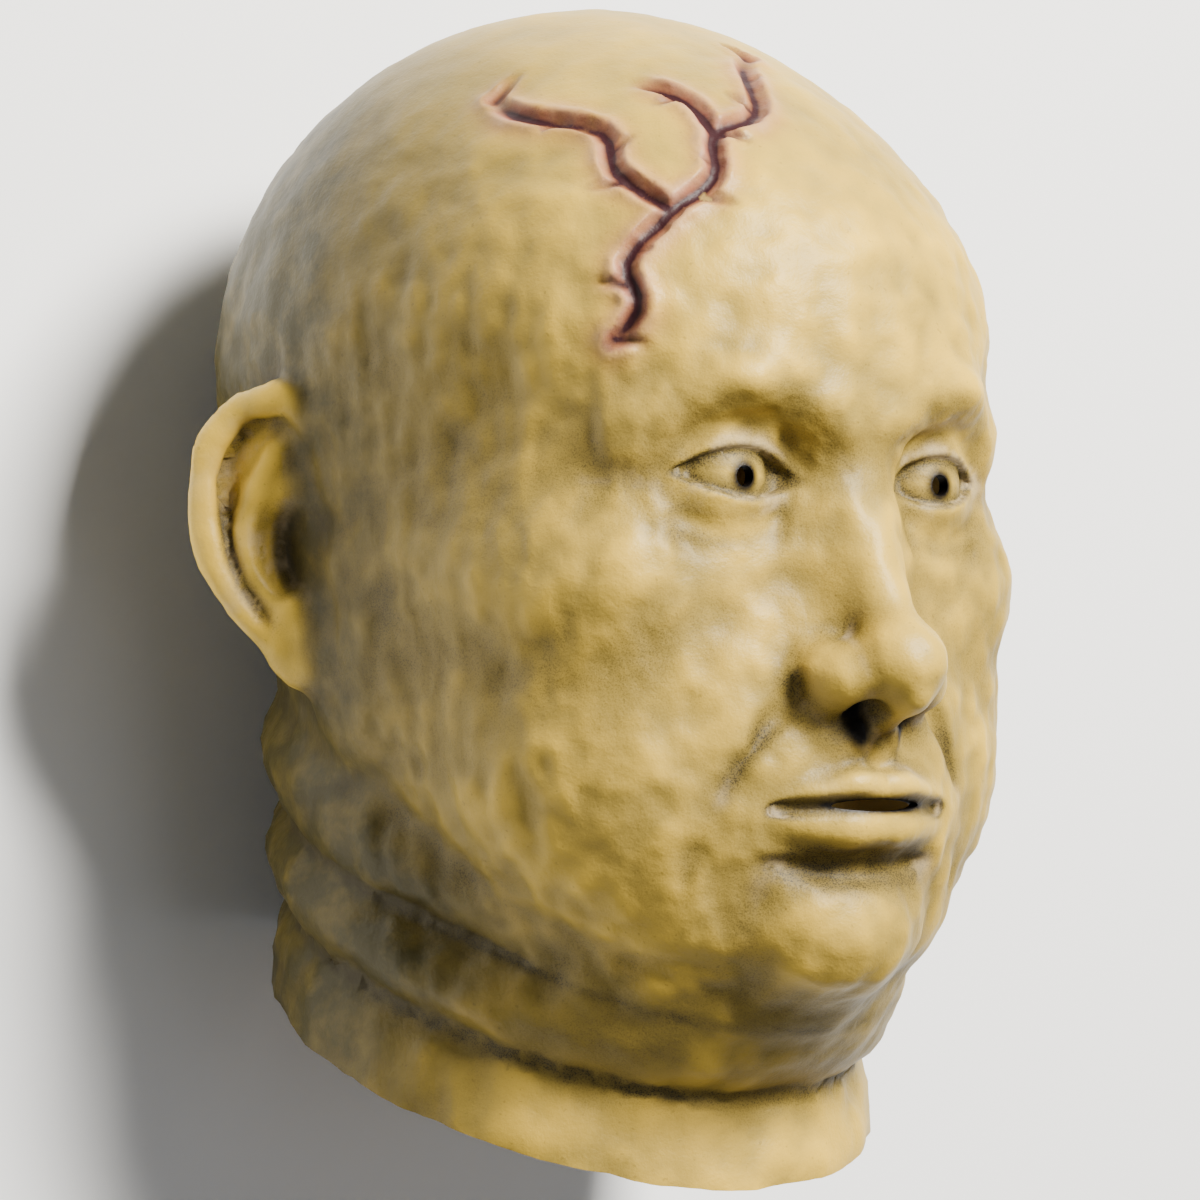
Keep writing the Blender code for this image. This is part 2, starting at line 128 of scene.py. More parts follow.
def smooth_line(points: Line, steps: int = 4) -> Array:
    """Draws a smooth curve through points.

    Args:
        points: The points. Each of their columns is carried along.
        steps: How many straight steps join one point to the next.

    Returns:
        The curve's points.
    """
    given = np.array(points, float)
    padded = np.vstack([2 * given[0] - given[1], given, 2 * given[-1] - given[-2]])
    line = []
    for before, start, end, after in zip(padded, padded[1:], padded[2:], padded[3:]):
        for t in np.arange(steps) / steps:
            bend = 2 * before - 5 * start + 4 * end - after
            twist = 3 * start - before - 3 * end + after
            line.append(start + 0.5 * ((end - before) * t + bend * t**2 + twist * t**3))
    return np.array([*line, given[-1]])


def along_line(
    points: Array, line_points: Line, steps: int = 4, reach: float = 14.0
) -> tuple[Array, Array, Array]:
    """Measures points against a smooth line.

    Args:
        points: The points.
        line_points: What the line passes through.
        steps: How many straight steps join one of them to the next.
        reach: How far round the line's box points are measured. The others count as far off.

    Returns:
        Each point's distance to the line, the share of the line passed there, and the value of
        the line's last column there.
    """
    line = smooth_line(line_points, steps)
    places = line[:, :3]
    low, high = places.min(axis=0) - reach, places.max(axis=0) + reach
    near = ((points > low) & (points < high)).all(axis=1)
    distance, share, value = np.full(len(points), 1e3), np.zeros(len(points)), np.zeros(len(points))
    close = points[near]
    best, passed, carried = distance[near], share[near], value[near]
    for step in range(len(line) - 1):
        start, along = places[step], places[step + 1] - places[step]
        t = np.clip((close - start) @ along / max(along @ along, 1e-9), 0, 1)
        gap = length(close - start - t[:, None] * along)
        closer = gap < best
        best[closer] = gap[closer]
        passed[closer] = (step + t[closer]) / (len(line) - 1)
        carried[closer] = line[step, -1] + (line[step + 1, -1] - line[step, -1]) * t[closer]
    distance[near], share[near], value[near] = best, passed, carried
    return distance, share, value


def noise_at(points: Array, span: Triple, seed: float) -> Array:
    """Reads smooth noise at points.

    Args:
        points: The points.
        span: How wide its lumps are along each axis.
        seed: Where in the noise to read.

    Returns:
        A value between about -1 and 1 for each point.
    """
    places = points / np.array(span) + np.array((seed * 31.7, seed * 17.3, seed * 5.9))
    return np.array([noise.noise(place) for place in places.tolist()])


def dab(points: Array, centre: Triple, radii: Triple) -> Array:
    """Gives a soft spot, 1 at its centre, that fades over its radii."""
    return np.exp(-(((points - np.array(centre)) / np.array(radii)) ** 2).sum(axis=-1))


@dataclass(frozen=True)
class Ball:
    """A ball of clay, stretched to its radii and turned.

    Attributes:
        centre: Its middle.
        radii: Its three radii.
        blend: How wide a fillet joins it to what it meets.
        turn: How far it is turned about each axis, in degrees.
    """

    centre: Triple
    radii: Triple
    blend: float = 1.0
    turn: Triple = (0, 0, 0)

    def outside(self, points: Array) -> Array:
        """Gives about how far each point lies outside it."""
        local = points - np.array(self.centre, float)
        if any(self.turn):
            local = turned(local, self.turn)
        radii = np.array(self.radii, float)
        share = length(local / radii)
        return share * (share - 1) / np.maximum(length(local / radii**2), 1e-9)


@dataclass(frozen=True)
class Rod:
    """A tapered rod of clay with round ends.

    Attributes:
        start: The middle of its first end.
        end: The middle of its other end.
        radii: The radius at each end.
        blend: How wide a fillet joins it to what it meets.
    """

    start: Triple
    end: Triple
    radii: tuple[float, float]
    blend: float

    def outside(self, points: Array) -> Array:
        """Gives how far each point lies outside it."""
        start = np.array(self.start, float)
        along = np.array(self.end, float) - start
        share = np.clip((points - start) @ along / (along @ along), 0, 1)
        radius = self.radii[0] + (self.radii[1] - self.radii[0]) * share
        return length(points - start - share[:, None] * along) - radius


@dataclass(frozen=True)
class Tube:
    """A roll of clay along a smooth line.

    Attributes:
        line: What it passes through, each point with the roll's radius there.
        blend: How wide a fillet joins it to what it meets.
        steps: How many straight steps join one point to the next.
    """

    line: Line
    blend: float
    steps: int = 4

    def outside(self, points: Array) -> Array:
        """Gives how far each point lies outside it."""
        distance, _, radius = along_line(points, self.line, self.steps)
        return distance - radius


@dataclass(frozen=True)
class Groove:
    """A soft line pressed into the skin, or raised from it where its depth is negative.

    Attributes:
        line: What it passes through, near the skin.
        width: How wide its soft sides are.
        depth: How deep it is.
        from_middle: Whether it starts on the head's middle, where it runs on to the other half.
    """

    line: Line
    width: float
    depth: float
    from_middle: bool = False

    def pressed(self, points: Array) -> Array:
        """Gives how deep each point is pressed in."""
        distance, share, _ = along_line(points, self.line)
        rest = 1 - share if self.from_middle else np.minimum(share, 1 - share)
        fade = np.clip(rest * 5, 0, 1)
        return self.depth * np.exp(-((distance / self.width) ** 2)) * fade * fade * (3 - 2 * fade)


Form = Ball | Rod | Tube


@dataclass(frozen=True)
class Feature:
    """A feature of the left half of the face, which the right half mirrors.

    Attributes:
        zone: The lowest and highest corner of the box that it changes.
        added: The forms that are joined on, in order.
        carved: The forms that are then cut out.
        grooves: The soft lines that are then pressed in.
    """

    zone: tuple[Triple, Triple] = ((-1, -150, -160), (200, 20, 150))
    added: tuple[Form, ...] = ()
    carved: tuple[Form, ...] = ()
    grooves: tuple[Groove, ...] = ()

    def shape(self, head: Array, form: Array) -> Array:
        """Shapes the feature.

        Args:
            head: The points, with the right half mirrored.
            form: How far each lies outside what is there already.

        Returns:
            How far each lies outside the form with the feature on it.
        """
        low, high = self.zone
        near = ((head > low) & (head < high)).all(axis=1)
        points, local = head[near], form[near]
        for part in self.added:
            local = join(local, part.outside(points), part.blend)
        for part in self.carved:
            local = carve(local, part.outside(points), part.blend)
        for groove in self.grooves:
            local = local + groove.pressed(points)
        shaped = form.copy()
        shaped[near] = local
        return shaped


@dataclass(frozen=True)
class Brow(Feature):
    """The brow ridges and the sockets under them."""

    zone: tuple[Triple, Triple] = ((-1, -140, -40), (95, 20, 60))
    added: tuple[Form, ...] = (
        Rod((8, -96, 17), (34, -91.5, 21), (8.5, 8.5), 12),
        Rod((34, -91.5, 21), (56, -76, 14), (8.5, 8.0), 12),
    )
    carved: tuple[Form, ...] = (Ball((37, -106, 1), (23, 17, 14.5), 14),)


@dataclass(frozen=True)
class Nose(Feature):
    """The nose's base, bridge, tip, wings and web, and the hollows that lead to its holes."""

    zone: tuple[Triple, Triple] = ((-1, -150, -105), (70, -45, 40))
    added: tuple[Form, ...] = (
        Ball((0, -82, -56), (34, 21, 24), 16),
        Ball((0, -90, -30), (17, 17, 34), 10),
        Rod((0, -92, 4), (0, -113, -44), (7.0, 8.5), 8),
        Ball((0, -117, -49), (12.5, 12, 11.5), 7),
        Ball((14, -105, -52.5), (8.6, 13, 9.2), 5.5, (0, 0, -12)),
        Rod((0, -122, -57), (0, -104, -63), (4.2, 5), 4),
    )
    carved: tuple[Form, ...] = (Ball((8, -110.5, -62), (3.9, 7, 5.2), 2.5, (0, 0, -18)),)


@dataclass(frozen=True)
class Mouth(Feature):
    """The mass behind the mouth, both lips, the line between them and the groove above."""

    zone: tuple[Triple, Triple] = ((-1, -150, -130), (75, -30, -45))
    added: tuple[Form, ...] = (
        Ball((0, -80, -84), (38, 27, 27), 16),
        Tube(
            (
                (0, -107.5, -81.5, 4.2),
                (6, -108, -80.5, 4.6),
                (14, -105.5, -81.8, 4.2),
                (24, -99, -84.3, 3.1),
                (32, -91, -86.5, 1.2),
            ),
            3.5,
        ),
        Tube(
            ((0, -105.5, -91, 5.6), (10, -104.5, -91, 5.4), (21, -99, -89.8, 4.1), (32, -90.5, -87, 1.2)),
            4,
        ),
    )
    grooves: tuple[Groove, ...] = (
        Groove(
            (
                (0, -113, -85.6),
                (5, -113, -85.3),
                (10, -111, -85.2),
                (18, -107, -86),
                (26, -100, -86.4),
                (33, -92, -87),
            ),
            2.0,
            3.2,
            from_middle=True,
        ),
        Groove(((0, -106, -62), (0, -109, -70), (0, -112, -77)), 3.0, 1.3, from_middle=True),
        Groove(((5.4, -106, -63), (5.8, -109, -70), (6.2, -111, -76)), 2.6, -0.9),
    )


@dataclass(frozen=True)
class Chin(Feature):
    """The chin and the hollow over it."""

    zone: tuple[Triple, Triple] = ((-1, -150, -165), (70, -30, -80))
    added: tuple[Form, ...] = (Ball((0, -86, -119), (26, 21, 18), 15),)
    grooves: tuple[Groove, ...] = (
        Groove(
            ((0, -101, -102.5), (10, -99, -102), (20, -94, -100), (30, -88, -96)), 5.0, 2.6, from_middle=True
        ),
    )


@dataclass(frozen=True)
class Flesh(Feature):
    """The folds beside the mouth, the creases of the forehead and the fine lines by the eyes."""

    grooves: tuple[Groove, ...] = (
        Groove(((19, -103, -50), (24, -100, -58), (31, -96, -68), (37, -91, -79), (40, -86, -90)), 3.4, 2.2),
        Groove(((0, -101, 46), (24, -98, 49), (46, -86, 46)), 2.0, 2.0, from_middle=True),
        Groove(((0, -98, 62), (24, -94, 64), (44, -83, 61)), 2.0, 1.7, from_middle=True),
        Groove(((54, -84, 1), (61, -78, 5), (68, -70, 12)), 1.5, 0.8),
        Groove(((55, -83, -3), (63, -76, -3), (71, -67, -1)), 1.5, 0.8),
        Groove(((54, -84, -7), (61, -78, -11), (68, -71, -15)), 1.5, 0.7),
        Groove(((44, -90, -94), (46, -84, -104), (42, -80, -114)), 3.0, 0.8),
    )

    def shape(self, head: Array, form: Array) -> Array:
        """Shapes the cheeks, the temples' hollows and the lines.

        Args:
            head: The points, with the right half mirrored.
            form: How far each lies outside what is there already.

        Returns:
            How far each lies outside the form with them on it.
        """
        swollen = super().shape(head, form) - 1.6 * dab(head, (38, -92, -62), (11, 12, 16))
        return swollen + 2.5 * dab(head, (80, -52, 22), (16, 24, 20))


@dataclass(frozen=True)
class Eyes:
    """The eyeballs, the lids that meet in two arcs, and the folds over and under them.

    Attributes:
        centre: The middle of the left eyeball.
        ball: The eyeball's radius.
        lid: How thick the lids stand on it.
        half_width: Half the width of the opening between the lids.
        rise: How high the upper lid's arc stands.
        drop: How deep the lower lid's arc hangs.
        slant: How far the outer corner is turned up, in degrees.
        folds: The crease over the upper lid and the pouch under the lower one.
    """

    centre: Triple = (34.0, -79.5, 0.0)
    ball: float = 15.0
    lid: float = 2.4
    half_width: float = 17.5
    rise: float = 7.6
    drop: float = 5.4
    slant: float = 3.0
    folds: tuple[Groove, ...] = (
        Groove(((18, -92, 6), (24, -98, 11.5), (34, -99.5, 13.5), (44, -95, 11.5), (53, -86, 4)), 1.9, 2.0),
        Groove(((19, -92, -7), (26, -96, -12), (35, -96.5, -14.5), (45, -92, -13), (53, -86, -8)), 2.4, 1.0),
        Groove(((18, -93, -10), (26, -96, -18), (36, -96, -21.5), (47, -91, -19), (56, -83, -12)), 2.6, 0.7),
    )

    def opening(self, head: Array) -> Array:
        """Gives how far each point lies outside the opening between the lids."""
        local = turned(head - np.array(self.centre), (0, -self.slant, 0))
        upper = (self.half_width**2 + self.rise**2) / (2 * self.rise)
        lower = (self.half_width**2 + self.drop**2) / (2 * self.drop)
        under_upper = np.hypot(local[:, 0], local[:, 2] - self.rise + upper) - upper
        over_lower = np.hypot(local[:, 0], local[:, 2] + self.drop - lower) - lower
        return np.maximum(np.maximum(under_upper, over_lower), local[:, 1])

    def shape(self, head: Array, form: Array) -> Array:
        """Shapes the eyes.

        Args:
            head: The points, with the right half mirrored.
            form: How far each lies outside what is there already.

        Returns:
            How far each lies outside the form with the eyes in it.
        """
        near = (np.abs(head - np.array((36, -88, 0))) < (40, 40, 42)).all(axis=1)
        points, local = head[near], form[near]
        ball = length(points - np.array(self.centre)) - self.ball
        local = join(local, ball - self.lid, 6)
        local = join(carve(local, self.opening(points), 2.0), ball, 1.4)
        for fold in self.folds:
            local = local + fold.pressed(points)
        shaped = form.copy()
        shaped[near] = local
        return shaped


@dataclass(frozen=True)
class Ears:
    """The ears, each drawn flat in its own directions: backwards, up, and out of its front.

    Attributes:
        place: Where the left ear is set on the head.
        flare: How far it stands off the head, in degrees.
        lean: How far it leans back, in degrees.
        size: How large it is against its drawing.
    """

    place: Triple = (88.0, 28.0, -13.0)
    flare: float = 34.0
    lean: float = 9.0
    size: float = 1.03
    root_of_rim: Line = ((-3, -2, 1, 2.2), (-10, 4, 4, 3.0), (-15, 14, 6, 3.8))
    rim: Line = (
        (-13, 27, 7.5, 4.2),
        (-4, 35.5, 8.5, 4.4),
        (8, 36, 9.5, 4.4),
        (18, 28, 10.5, 4.2),
        (23, 14, 11.5, 4.0),
        (22.5, -2, 11.5, 3.8),
        (18, -16, 9.5, 3.5),
        (12, -26, 7, 3.2),
        (6, -32, 5.5, 3.2),
    )
    ridge: Line = (
        (5, -20, 6, 3.2),
        (12, -9, 8.5, 3.4),
        (13, 4, 9, 3.6),
        (9, 14, 8, 3.6),
        (1, 23, 6.5, 3),
        (-5, 28, 5, 2),
    )
    fork: Line = ((9, 13, 7.5, 3), (1, 14, 6, 2.6), (-8, 14, 4, 2))

    def axes(self) -> Array:
        """Gives the left ear's directions as rows: backwards, up, and out of its front."""
        flare, lean = math.radians(self.flare), math.radians(self.lean)
        level = np.array([math.sin(flare), math.cos(flare), 0.0])
        upright = np.array([0.0, 0.0, 1.0])
        back = level * math.cos(lean) - upright * math.sin(lean)
        up = upright * math.cos(lean) + level * math.sin(lean)
        return np.array([back, up, (math.cos(flare), -math.sin(flare), 0.0)])

    def outside(self, head: Array) -> Array:
        """Gives how far each point lies outside the left ear."""
        local = (head - np.array(self.place)) @ self.axes().T / self.size
        form = Ball((4, 1, 5), (19, 34, 4.2)).outside(local)
        for part in (
            Tube((*self.root_of_rim, *self.rim), 2.5, 3),
            Ball((1, -30, 5), (12, 11, 5.4), 4),
            Ball((-3, -2, -6), (13, 27, 10), 6),
            Tube(self.ridge, 3, 3),
            Tube(self.fork, 3, 3),
        ):
            form = join(form, part.outside(local), part.blend)
        form = carve(form, Ball((-1.5, -4, 9), (10.5, 12.5, 10.5)).outside(local), 4)
        flaps = Ball((3, -19, 6), (5, 4, 4), 3), Ball((-12, -9, 6.5), (4.6, 7, 5.5), 3)
        for part in (Tube(self.root_of_rim, 2, 3), *flaps):
            form = join(form, part.outside(local), part.blend)
        return form * self.size

    def shape(self, head: Array, form: Array) -> Array:
        """Sets the ears on the head.

        Args:
            head: The points, with the right half mirrored.
            form: How far each lies outside the head without its ears.

        Returns:
            How far each lies outside the head with its ears.
        """
        beside = (head[:, 0] > 55) & (np.abs(head[:, 1] - 32) < 60) & (np.abs(head[:, 2] + 13) < 70)
        shaped = form.copy()
        shaped[beside] = join(form[beside], self.outside(head[beside]), 5)
        return shaped


@dataclass
class Head:
    """The whole head: its big forms, with the features, the scar and the flat back on them.

    Attributes:
        rim_front: A (y, z) point of the plane where the neck is cut off.
        rim_back: Another (y, z) point of that plane.
        rest_nape: A (y, z) point of the plane that the mask lies on.
        rest_skull: Another (y, z) point of that plane.
        rest_middle: How far the origin is along the back from the nape's point.
        wall: How thick the latex is.
    """

    rim_front: tuple[float, float] = (-62.0, -190.0)
    rim_back: tuple[float, float] = (112.0, -118.0)
    rest_nape: tuple[float, float] = (106.2, -118.0)
    rest_skull: tuple[float, float] = (130.5, 45.0)
    rest_middle: float = 73.5
    wall: float = 3.0
    eyes: Eyes = field(default_factory=Eyes)
    ears: Ears = field(default_factory=Ears)
    features: tuple[Feature, ...] = field(default_factory=lambda: (Brow(), Nose(), Mouth(), Chin()))
    flesh: Flesh = field(default_factory=Flesh)
    scar: "Scar | None" = None

    def over_rim(self, points: Array) -> Array:
        """Gives each point's height over the plane where the neck is cut off."""
        return over_plane(points, self.rim_front, self.rim_back)

    def neck(self, head: Array) -> Array:
        """Gives how far each point lies outside the neck: a collar, a roll and jowls, with folds."""
        up = self.over_rim(head)
        across, deep = 80.0, 79.0
        form = (np.hypot(head[:, 0] / across, (head[:, 1] - 24) / deep) - 1) * deep
        collar = 4.5 * np.exp(-(((up - 4) / 15.0) ** 2))
        roll = 6.0 * np.exp(-(((up - 35) / 9.0) ** 2))
        jowl = 7.0 * np.exp(-(((up - 61) / 12.0) ** 2))
        folds = 4.5 * (np.exp(-np.abs(up - 23) / 2.6) + np.exp(-np.abs(up - 47.5) / 2.6))
        form = carve(form - collar - roll - jowl + folds, 95 - up, 30)
        return join(form, Ball((0, -34, -132), (58, 50, 30)).outside(head), 20)

    def big_forms(self, head: Array) -> Array:
        """Gives how far each point lies outside the head without its features."""
        skull = Ball((0, 20, 38), (96, 114, 99.5)).outside(head)
        skull = join(skull, Ball((0, -42, 36), (74, 59, 56)).outside(head), 34)
        skull = join(skull, Ball((0, 22, -28), (88, 86, 66)).outside(head), 30)
        face = Ball((0, -34, -40), (74, 64, 92)).outside(head)
        face = join(face, Ball((56, -44, -26), (30, 42, 24)).outside(head), 26)
        face = join(face, Rod((66, 6, -62), (30, -66, -112), (22, 20), 34).outside(head), 34)
        face = join(face, Ball((44, -48, -74), (36, 36, 36)).outside(head), 26)
        return join(join(skull, face, 26), self.neck(head), 7)

    def without_ears(self, points: Array) -> Array:
        """Gives how far each point lies outside the head without its ears."""
        head = mirrored(points)
        form = self.big_forms(head)
        front = head[:, 1] < 20
        face, shape = head[front], form[front]
        for feature in (*self.features, self.eyes, self.flesh):
            shape = feature.shape(face, shape)
        if self.scar:
            shape = shape + self.scar.pressed(points[front])
        form[front] = shape
        return carve(form, over_plane(points, self.rest_nape, self.rest_skull), 3)

    def skin(self, points: Array) -> Array:
        """Gives how far each point lies outside the finished skin."""
        return self.ears.shape(mirrored(points), self.without_ears(points))

    def hollow(self, points: Array) -> Array:
        """Gives how far each point lies outside the hollow, one wall under the skin."""
        return self.without_ears(points) + self.wall

    def gaps(self, points: Array) -> Array:
        """Gives 1 at the pupils, in the nostrils and between the lips, where shade is painted dark."""
        head = mirrored(points)
        between = ((0, -110, -85.7), (10, -108, -85.4), (19, -103, -86), (29, -95, -86.6))
        distance, share, _ = along_line(head, between)
        lips = np.exp(-((distance / 2.2) ** 2)) * np.clip((1 - share) * 4, 0, 1) * (head[:, 1] < -88)
        return np.maximum.reduce([lips, *(hole.darkness(head) for hole in Hole)])

    def lying(self) -> Matrix:
        """Gives the move from the upright drawing to the mask on its back, in metres."""
        back = (Vector(self.rest_skull) - Vector(self.rest_nape)).normalized()
        turn = Matrix(((1, 0, 0), (0, back.x, back.y), (0, -back.y, back.x))).to_4x4()
        to_nape = Matrix.Translation((0, -self.rest_nape[0], -self.rest_nape[1]))
        return Matrix.Scale(MILLIMETRE, 4) @ Matrix.Translation((0, -self.rest_middle, 0)) @ turn @ to_nape


def slope(form: Measure, points: Array, step: float = 0.3) -> tuple[Array, Array]:
    """Gives a field's value and its gradient at each point.

    Args:
        form: The field.
        points: The points.
        step: How far off each point the field is read.

    Returns:
        The values and the gradients.
    """
    corners = np.array([[1, -1, -1], [-1, -1, 1], [-1, 1, -1], [1, 1, 1]], float)
    values = [form(points + step * corner) for corner in corners]
    gradient = sum(value[:, None] * corner for value, corner in zip(values, corners)) / (4 * step)
    return sum(values) / 4, gradient


def laid_on(form: Measure, points: Line | Array) -> Array:
    """Moves points onto the surface where a field is zero, and gives them back."""
    places = np.array(points, float)
    for _ in range(8):
        value, gradient = slope(form, places)
        places = places - (value / (gradient**2).sum(axis=1))[:, None] * gradient
    return places


@dataclass
class Scar:
    """A branched scar on the mask's right, with puckered lips and nicks across it.

    Attributes:
        head: The head that it is cut into.
        branches: The lines of the cut, near the skin.
        nicks: The shares of each branch where a nick crosses it.
        depth: How deep the cut presses in.
        width: How wide the cut's soft sides are.
        lip: How high the lips beside the cut stand.
    """

    head: Head
    branches: tuple[Line, ...] = (
        ((-66, -70, 28), (-58, -80, 42), (-61, -79, 55), (-50, -84, 70)),
        ((-50, -84, 70), (-60, -72, 84), (-58, -62, 98), (-72, -38, 107), (-69, -18, 119)),
        ((-50, -84, 70), (-36, -84, 79), (-30, -78, 93), (-13, -75, 100), (-3, -58, 115), (11, -46, 123)),
        ((-30, -78, 93), (-31, -66, 104), (-40, -52, 112)),
    )
    nicks: tuple[tuple[float, ...], ...] = (
        (0.2, 0.5, 0.8),
        (0.2, 0.42, 0.66, 0.88),
        (0.12, 0.27, 0.44, 0.6, 0.75, 0.9),
        (0.5,),
    )
    depth: float = 2.6
    width: float = 2.1
    lip: float = 1.1
    cuts: tuple[Array, ...] = field(init=False)
    ticks: tuple[Array, ...] = field(init=False)

    def __post_init__(self) -> None:
        """Lays the branches on the skin and works out the nicks across them."""

        self.cuts = tuple(laid_on(self.base, line) for line in self.branches)
        ticks = []
        for branch, (cut, shares) in enumerate(zip(self.cuts, self.nicks)):
            line = smooth_line(cut)
            for order, share in enumerate(shares):
                at = share * (len(line) - 1)
                place, along = line[int(at)], line[int(at) + 1] - line[int(at)]
                along = along / np.linalg.norm(along)
                _, out = slope(self.base, place[None, :])
                across = np.cross(out[0] / np.linalg.norm(out[0]), along)
                side = 1 if (order + branch) % 2 else -1
                reach = 9.0 + 3.5 * math.sin(2.3 * order + branch)
                ends = [place, place + side * reach * across + 0.6 * reach * along]
                ends.insert(1, (ends[0] + ends[1]) / 2 + 0.6 * along)
                ticks.append(laid_on(self.base, np.array(ends)))
        self.ticks = tuple(ticks)

    def base(self, points: Array) -> Array:
        """Gives how far each point lies outside the skin that the scar is cut into."""
        return self.head.big_forms(mirrored(points))

    def marks(self, points: Array) -> tuple[Array, Array, Array]:
        """Measures points against the scar.

        Args:
            points: The points.

        Returns:
            How much each point is in the cut, on its lips and in the sore skin round it, each
            from 0 to 1. All three fade out at the tips of the branches and the nicks.
        """
        cut, lips, sore = np.zeros((3, len(points)))
        lines = [(line, 1.0, 0.0, 3.5, index > 0) for index, line in enumerate(self.cuts)]
        lines += [(tick, 0.8, 0.9, 1.1, True) for tick in self.ticks]
        for line, weight, taper, ease, rooted in lines:
            distance, share, _ = along_line(points, line, reach=20.0)
            distance = distance * (1 + taper * share) / self.width
            fade = np.clip((1 - share if rooted else share) * ease, 0, 1)
            fade = weight * fade * fade * (3 - 2 * fade)
            cut = np.maximum(cut, fade * np.exp(-(distance**2)))
            lips = np.maximum(lips, fade * np.exp(-(((distance - 1.9) / 0.8) ** 2)))
            sore = np.maximum(sore, fade * np.exp(-((distance / 2.9) ** 2)))
        return cut, lips, sore

    def pressed(self, points: Array) -> Array:
        """Gives how deep the scar presses each point in, less how high its lips stand."""
        depth = np.zeros(len(points))
        near = (points[:, 0] < 30) & (points[:, 2] > 10)
        cut, lips, sore = self.marks(points[near])
        pucker = 1 + 0.5 * noise_at(points[near], (8, 8, 8), 9.0)
        depth[near] = self.depth * cut - (self.lip * lips * pucker + 0.4 * sore) * (1 - cut)
        return depth


@dataclass(frozen=True)
class Relief:
    """What the mould leaves in the skin: lumps, knobs, grain and streaks down its sides.

    Attributes:
        lump: How high the broad lumps stand.
        knob: How high the small ones stand.
        grain: How high the finest that the mesh carries stand.
        streak: How high the streaks down the temples and cheeks stand.
    """

    lump: float = 1.15
    knob: float = 1.0
    grain: float = 0.36
    streak: float = 0.6

    def quiet(self, head: Array) -> Array:
        """Gives 1 where the skin is lumpy, down to 0 on what is smooth: eyes, nose, lips, scalp."""
        calm = dab(head, (35, -92, 0), (17, 16, 15)) + 0.8 * dab(head, (0, -112, -45), (24, 26, 26))
        calm = calm + 0.75 * dab(head, (0, -106, -87), (36, 18, 10))
        calm = calm + 0.35 * dab(head, (98, 40, -20), (26, 40, 44))
        scalp = np.clip((head[:, 2] - 40) / 70, 0, 1) * 0.6
        return np.clip(1 - calm - scalp, 0.04, 1)

    def height(self, points: Array) -> Array:
        """Gives how far each point of the skin is lifted."""
        head = mirrored(points)
        side = np.clip((head[:, 0] - 42) / 34, 0, 1) * np.clip((90 - head[:, 2]) / 50, 0, 1)
        lumps = self.lump * noise_at(points, (19, 19, 19), 1.0)
        knobs = self.knob * noise_at(points, (8.5, 8.5, 8.5), 2.0)
        grain = self.grain * noise_at(points, (4.2, 4.2, 4.2), 3.0)
        streaks = self.streak * noise_at(points, (9, 5.0, 30), 4.0) * side
        folds = 0.5 * noise_at(points, (40, 40, 7), 5.0) * np.clip(-(points[:, 2] + 108) / 20, 0, 1)
        return (lumps + knobs + grain + streaks + folds) * self.quiet(head)


class Hole(Enum):
    """The holes that are cut through the left half of the face, as drawn from outside inwards.

    Each holds its start, its end, its width, its height and its number of sides.
    """

    PUPIL = ((34, -110, 0), (34, -72, 0), 5.6, 5.6, 32)
    NOSTRIL = ((8.2, -112.5, -72), (9.4, -101, -46), 4.6, 4.6, 24)
    MOUTH = ((0, -125, -85.6), (0, -84, -85.6), 30.0, 3.2, 32)

    def darkness(self, head: Array) -> Array:
        """Gives 1 on this hole's wall and its rim, down to 0 a little way out from it, where shade is
        painted.
        """
        start, end, width, height, _ = self.value
        along = np.subtract(end, start)
        off = head - start
        off = off - np.clip(off @ along / (along @ along), 0, 1)[:, None] * along
        return np.clip((1.95 - length(off / (width / 2, height / 2, height / 2))) / 0.8, 0, 1)

    def cut_with(self, tools: bmesh.types.BMesh, side: int) -> None:
        """Adds this hole's cutter, on the left with a side of 1 or on the right with -1."""
        start, end, width, height, sides = self.value
        start, end = (Vector((side * x, y, z)) for x, y, z in (start, end))
        along = end - start
        turn = along.to_track_quat("Z", "X").to_matrix().to_4x4()
        size = Matrix.Diagonal((height, width, along.length, 1))
        place = Matrix.Translation((start + end) / 2) @ turn @ size
        bmesh.ops.create_cone(
            tools, cap_ends=True, segments=sides, radius1=0.5, radius2=0.5, depth=1, matrix=place
        )


def modified(mesh: bpy.types.Mesh, kind: str, **settings: object) -> bpy.types.Mesh:
    """Runs one modifier on a mesh.

    Args:
        mesh: The mesh, which is used up.
        kind: The modifier's type.
        settings: Its settings.

    Returns:
        The new mesh.
    """
    helper = bpy.data.objects.new("helper", mesh)
    bpy.context.scene.collection.objects.link(helper)
    modifier = helper.modifiers.new(kind.title(), kind)
    for name, value in settings.items():
        setattr(modifier, name, value)
    graph = bpy.context.evaluated_depsgraph_get()
    result = bpy.data.meshes.new_from_object(helper.evaluated_get(graph))
    bpy.data.objects.remove(helper)
    bpy.data.meshes.remove(mesh)
    return result


def corners_of(mesh: bpy.types.Mesh) -> Array:
    """Gives a mesh's vertices as rows."""
    points = np.empty(len(mesh.vertices) * 3)
    mesh.vertices.foreach_get("co", points)
    return points.reshape(-1, 3)


def links_of(mesh: bpy.types.Mesh) -> npt.NDArray[np.int64]:
    """Gives a mesh's edges as rows of two vertex numbers."""
    edges = np.empty(len(mesh.edges) * 2, int)
    mesh.edges.foreach_get("vertices", edges)
    return edges.reshape(-1, 2)


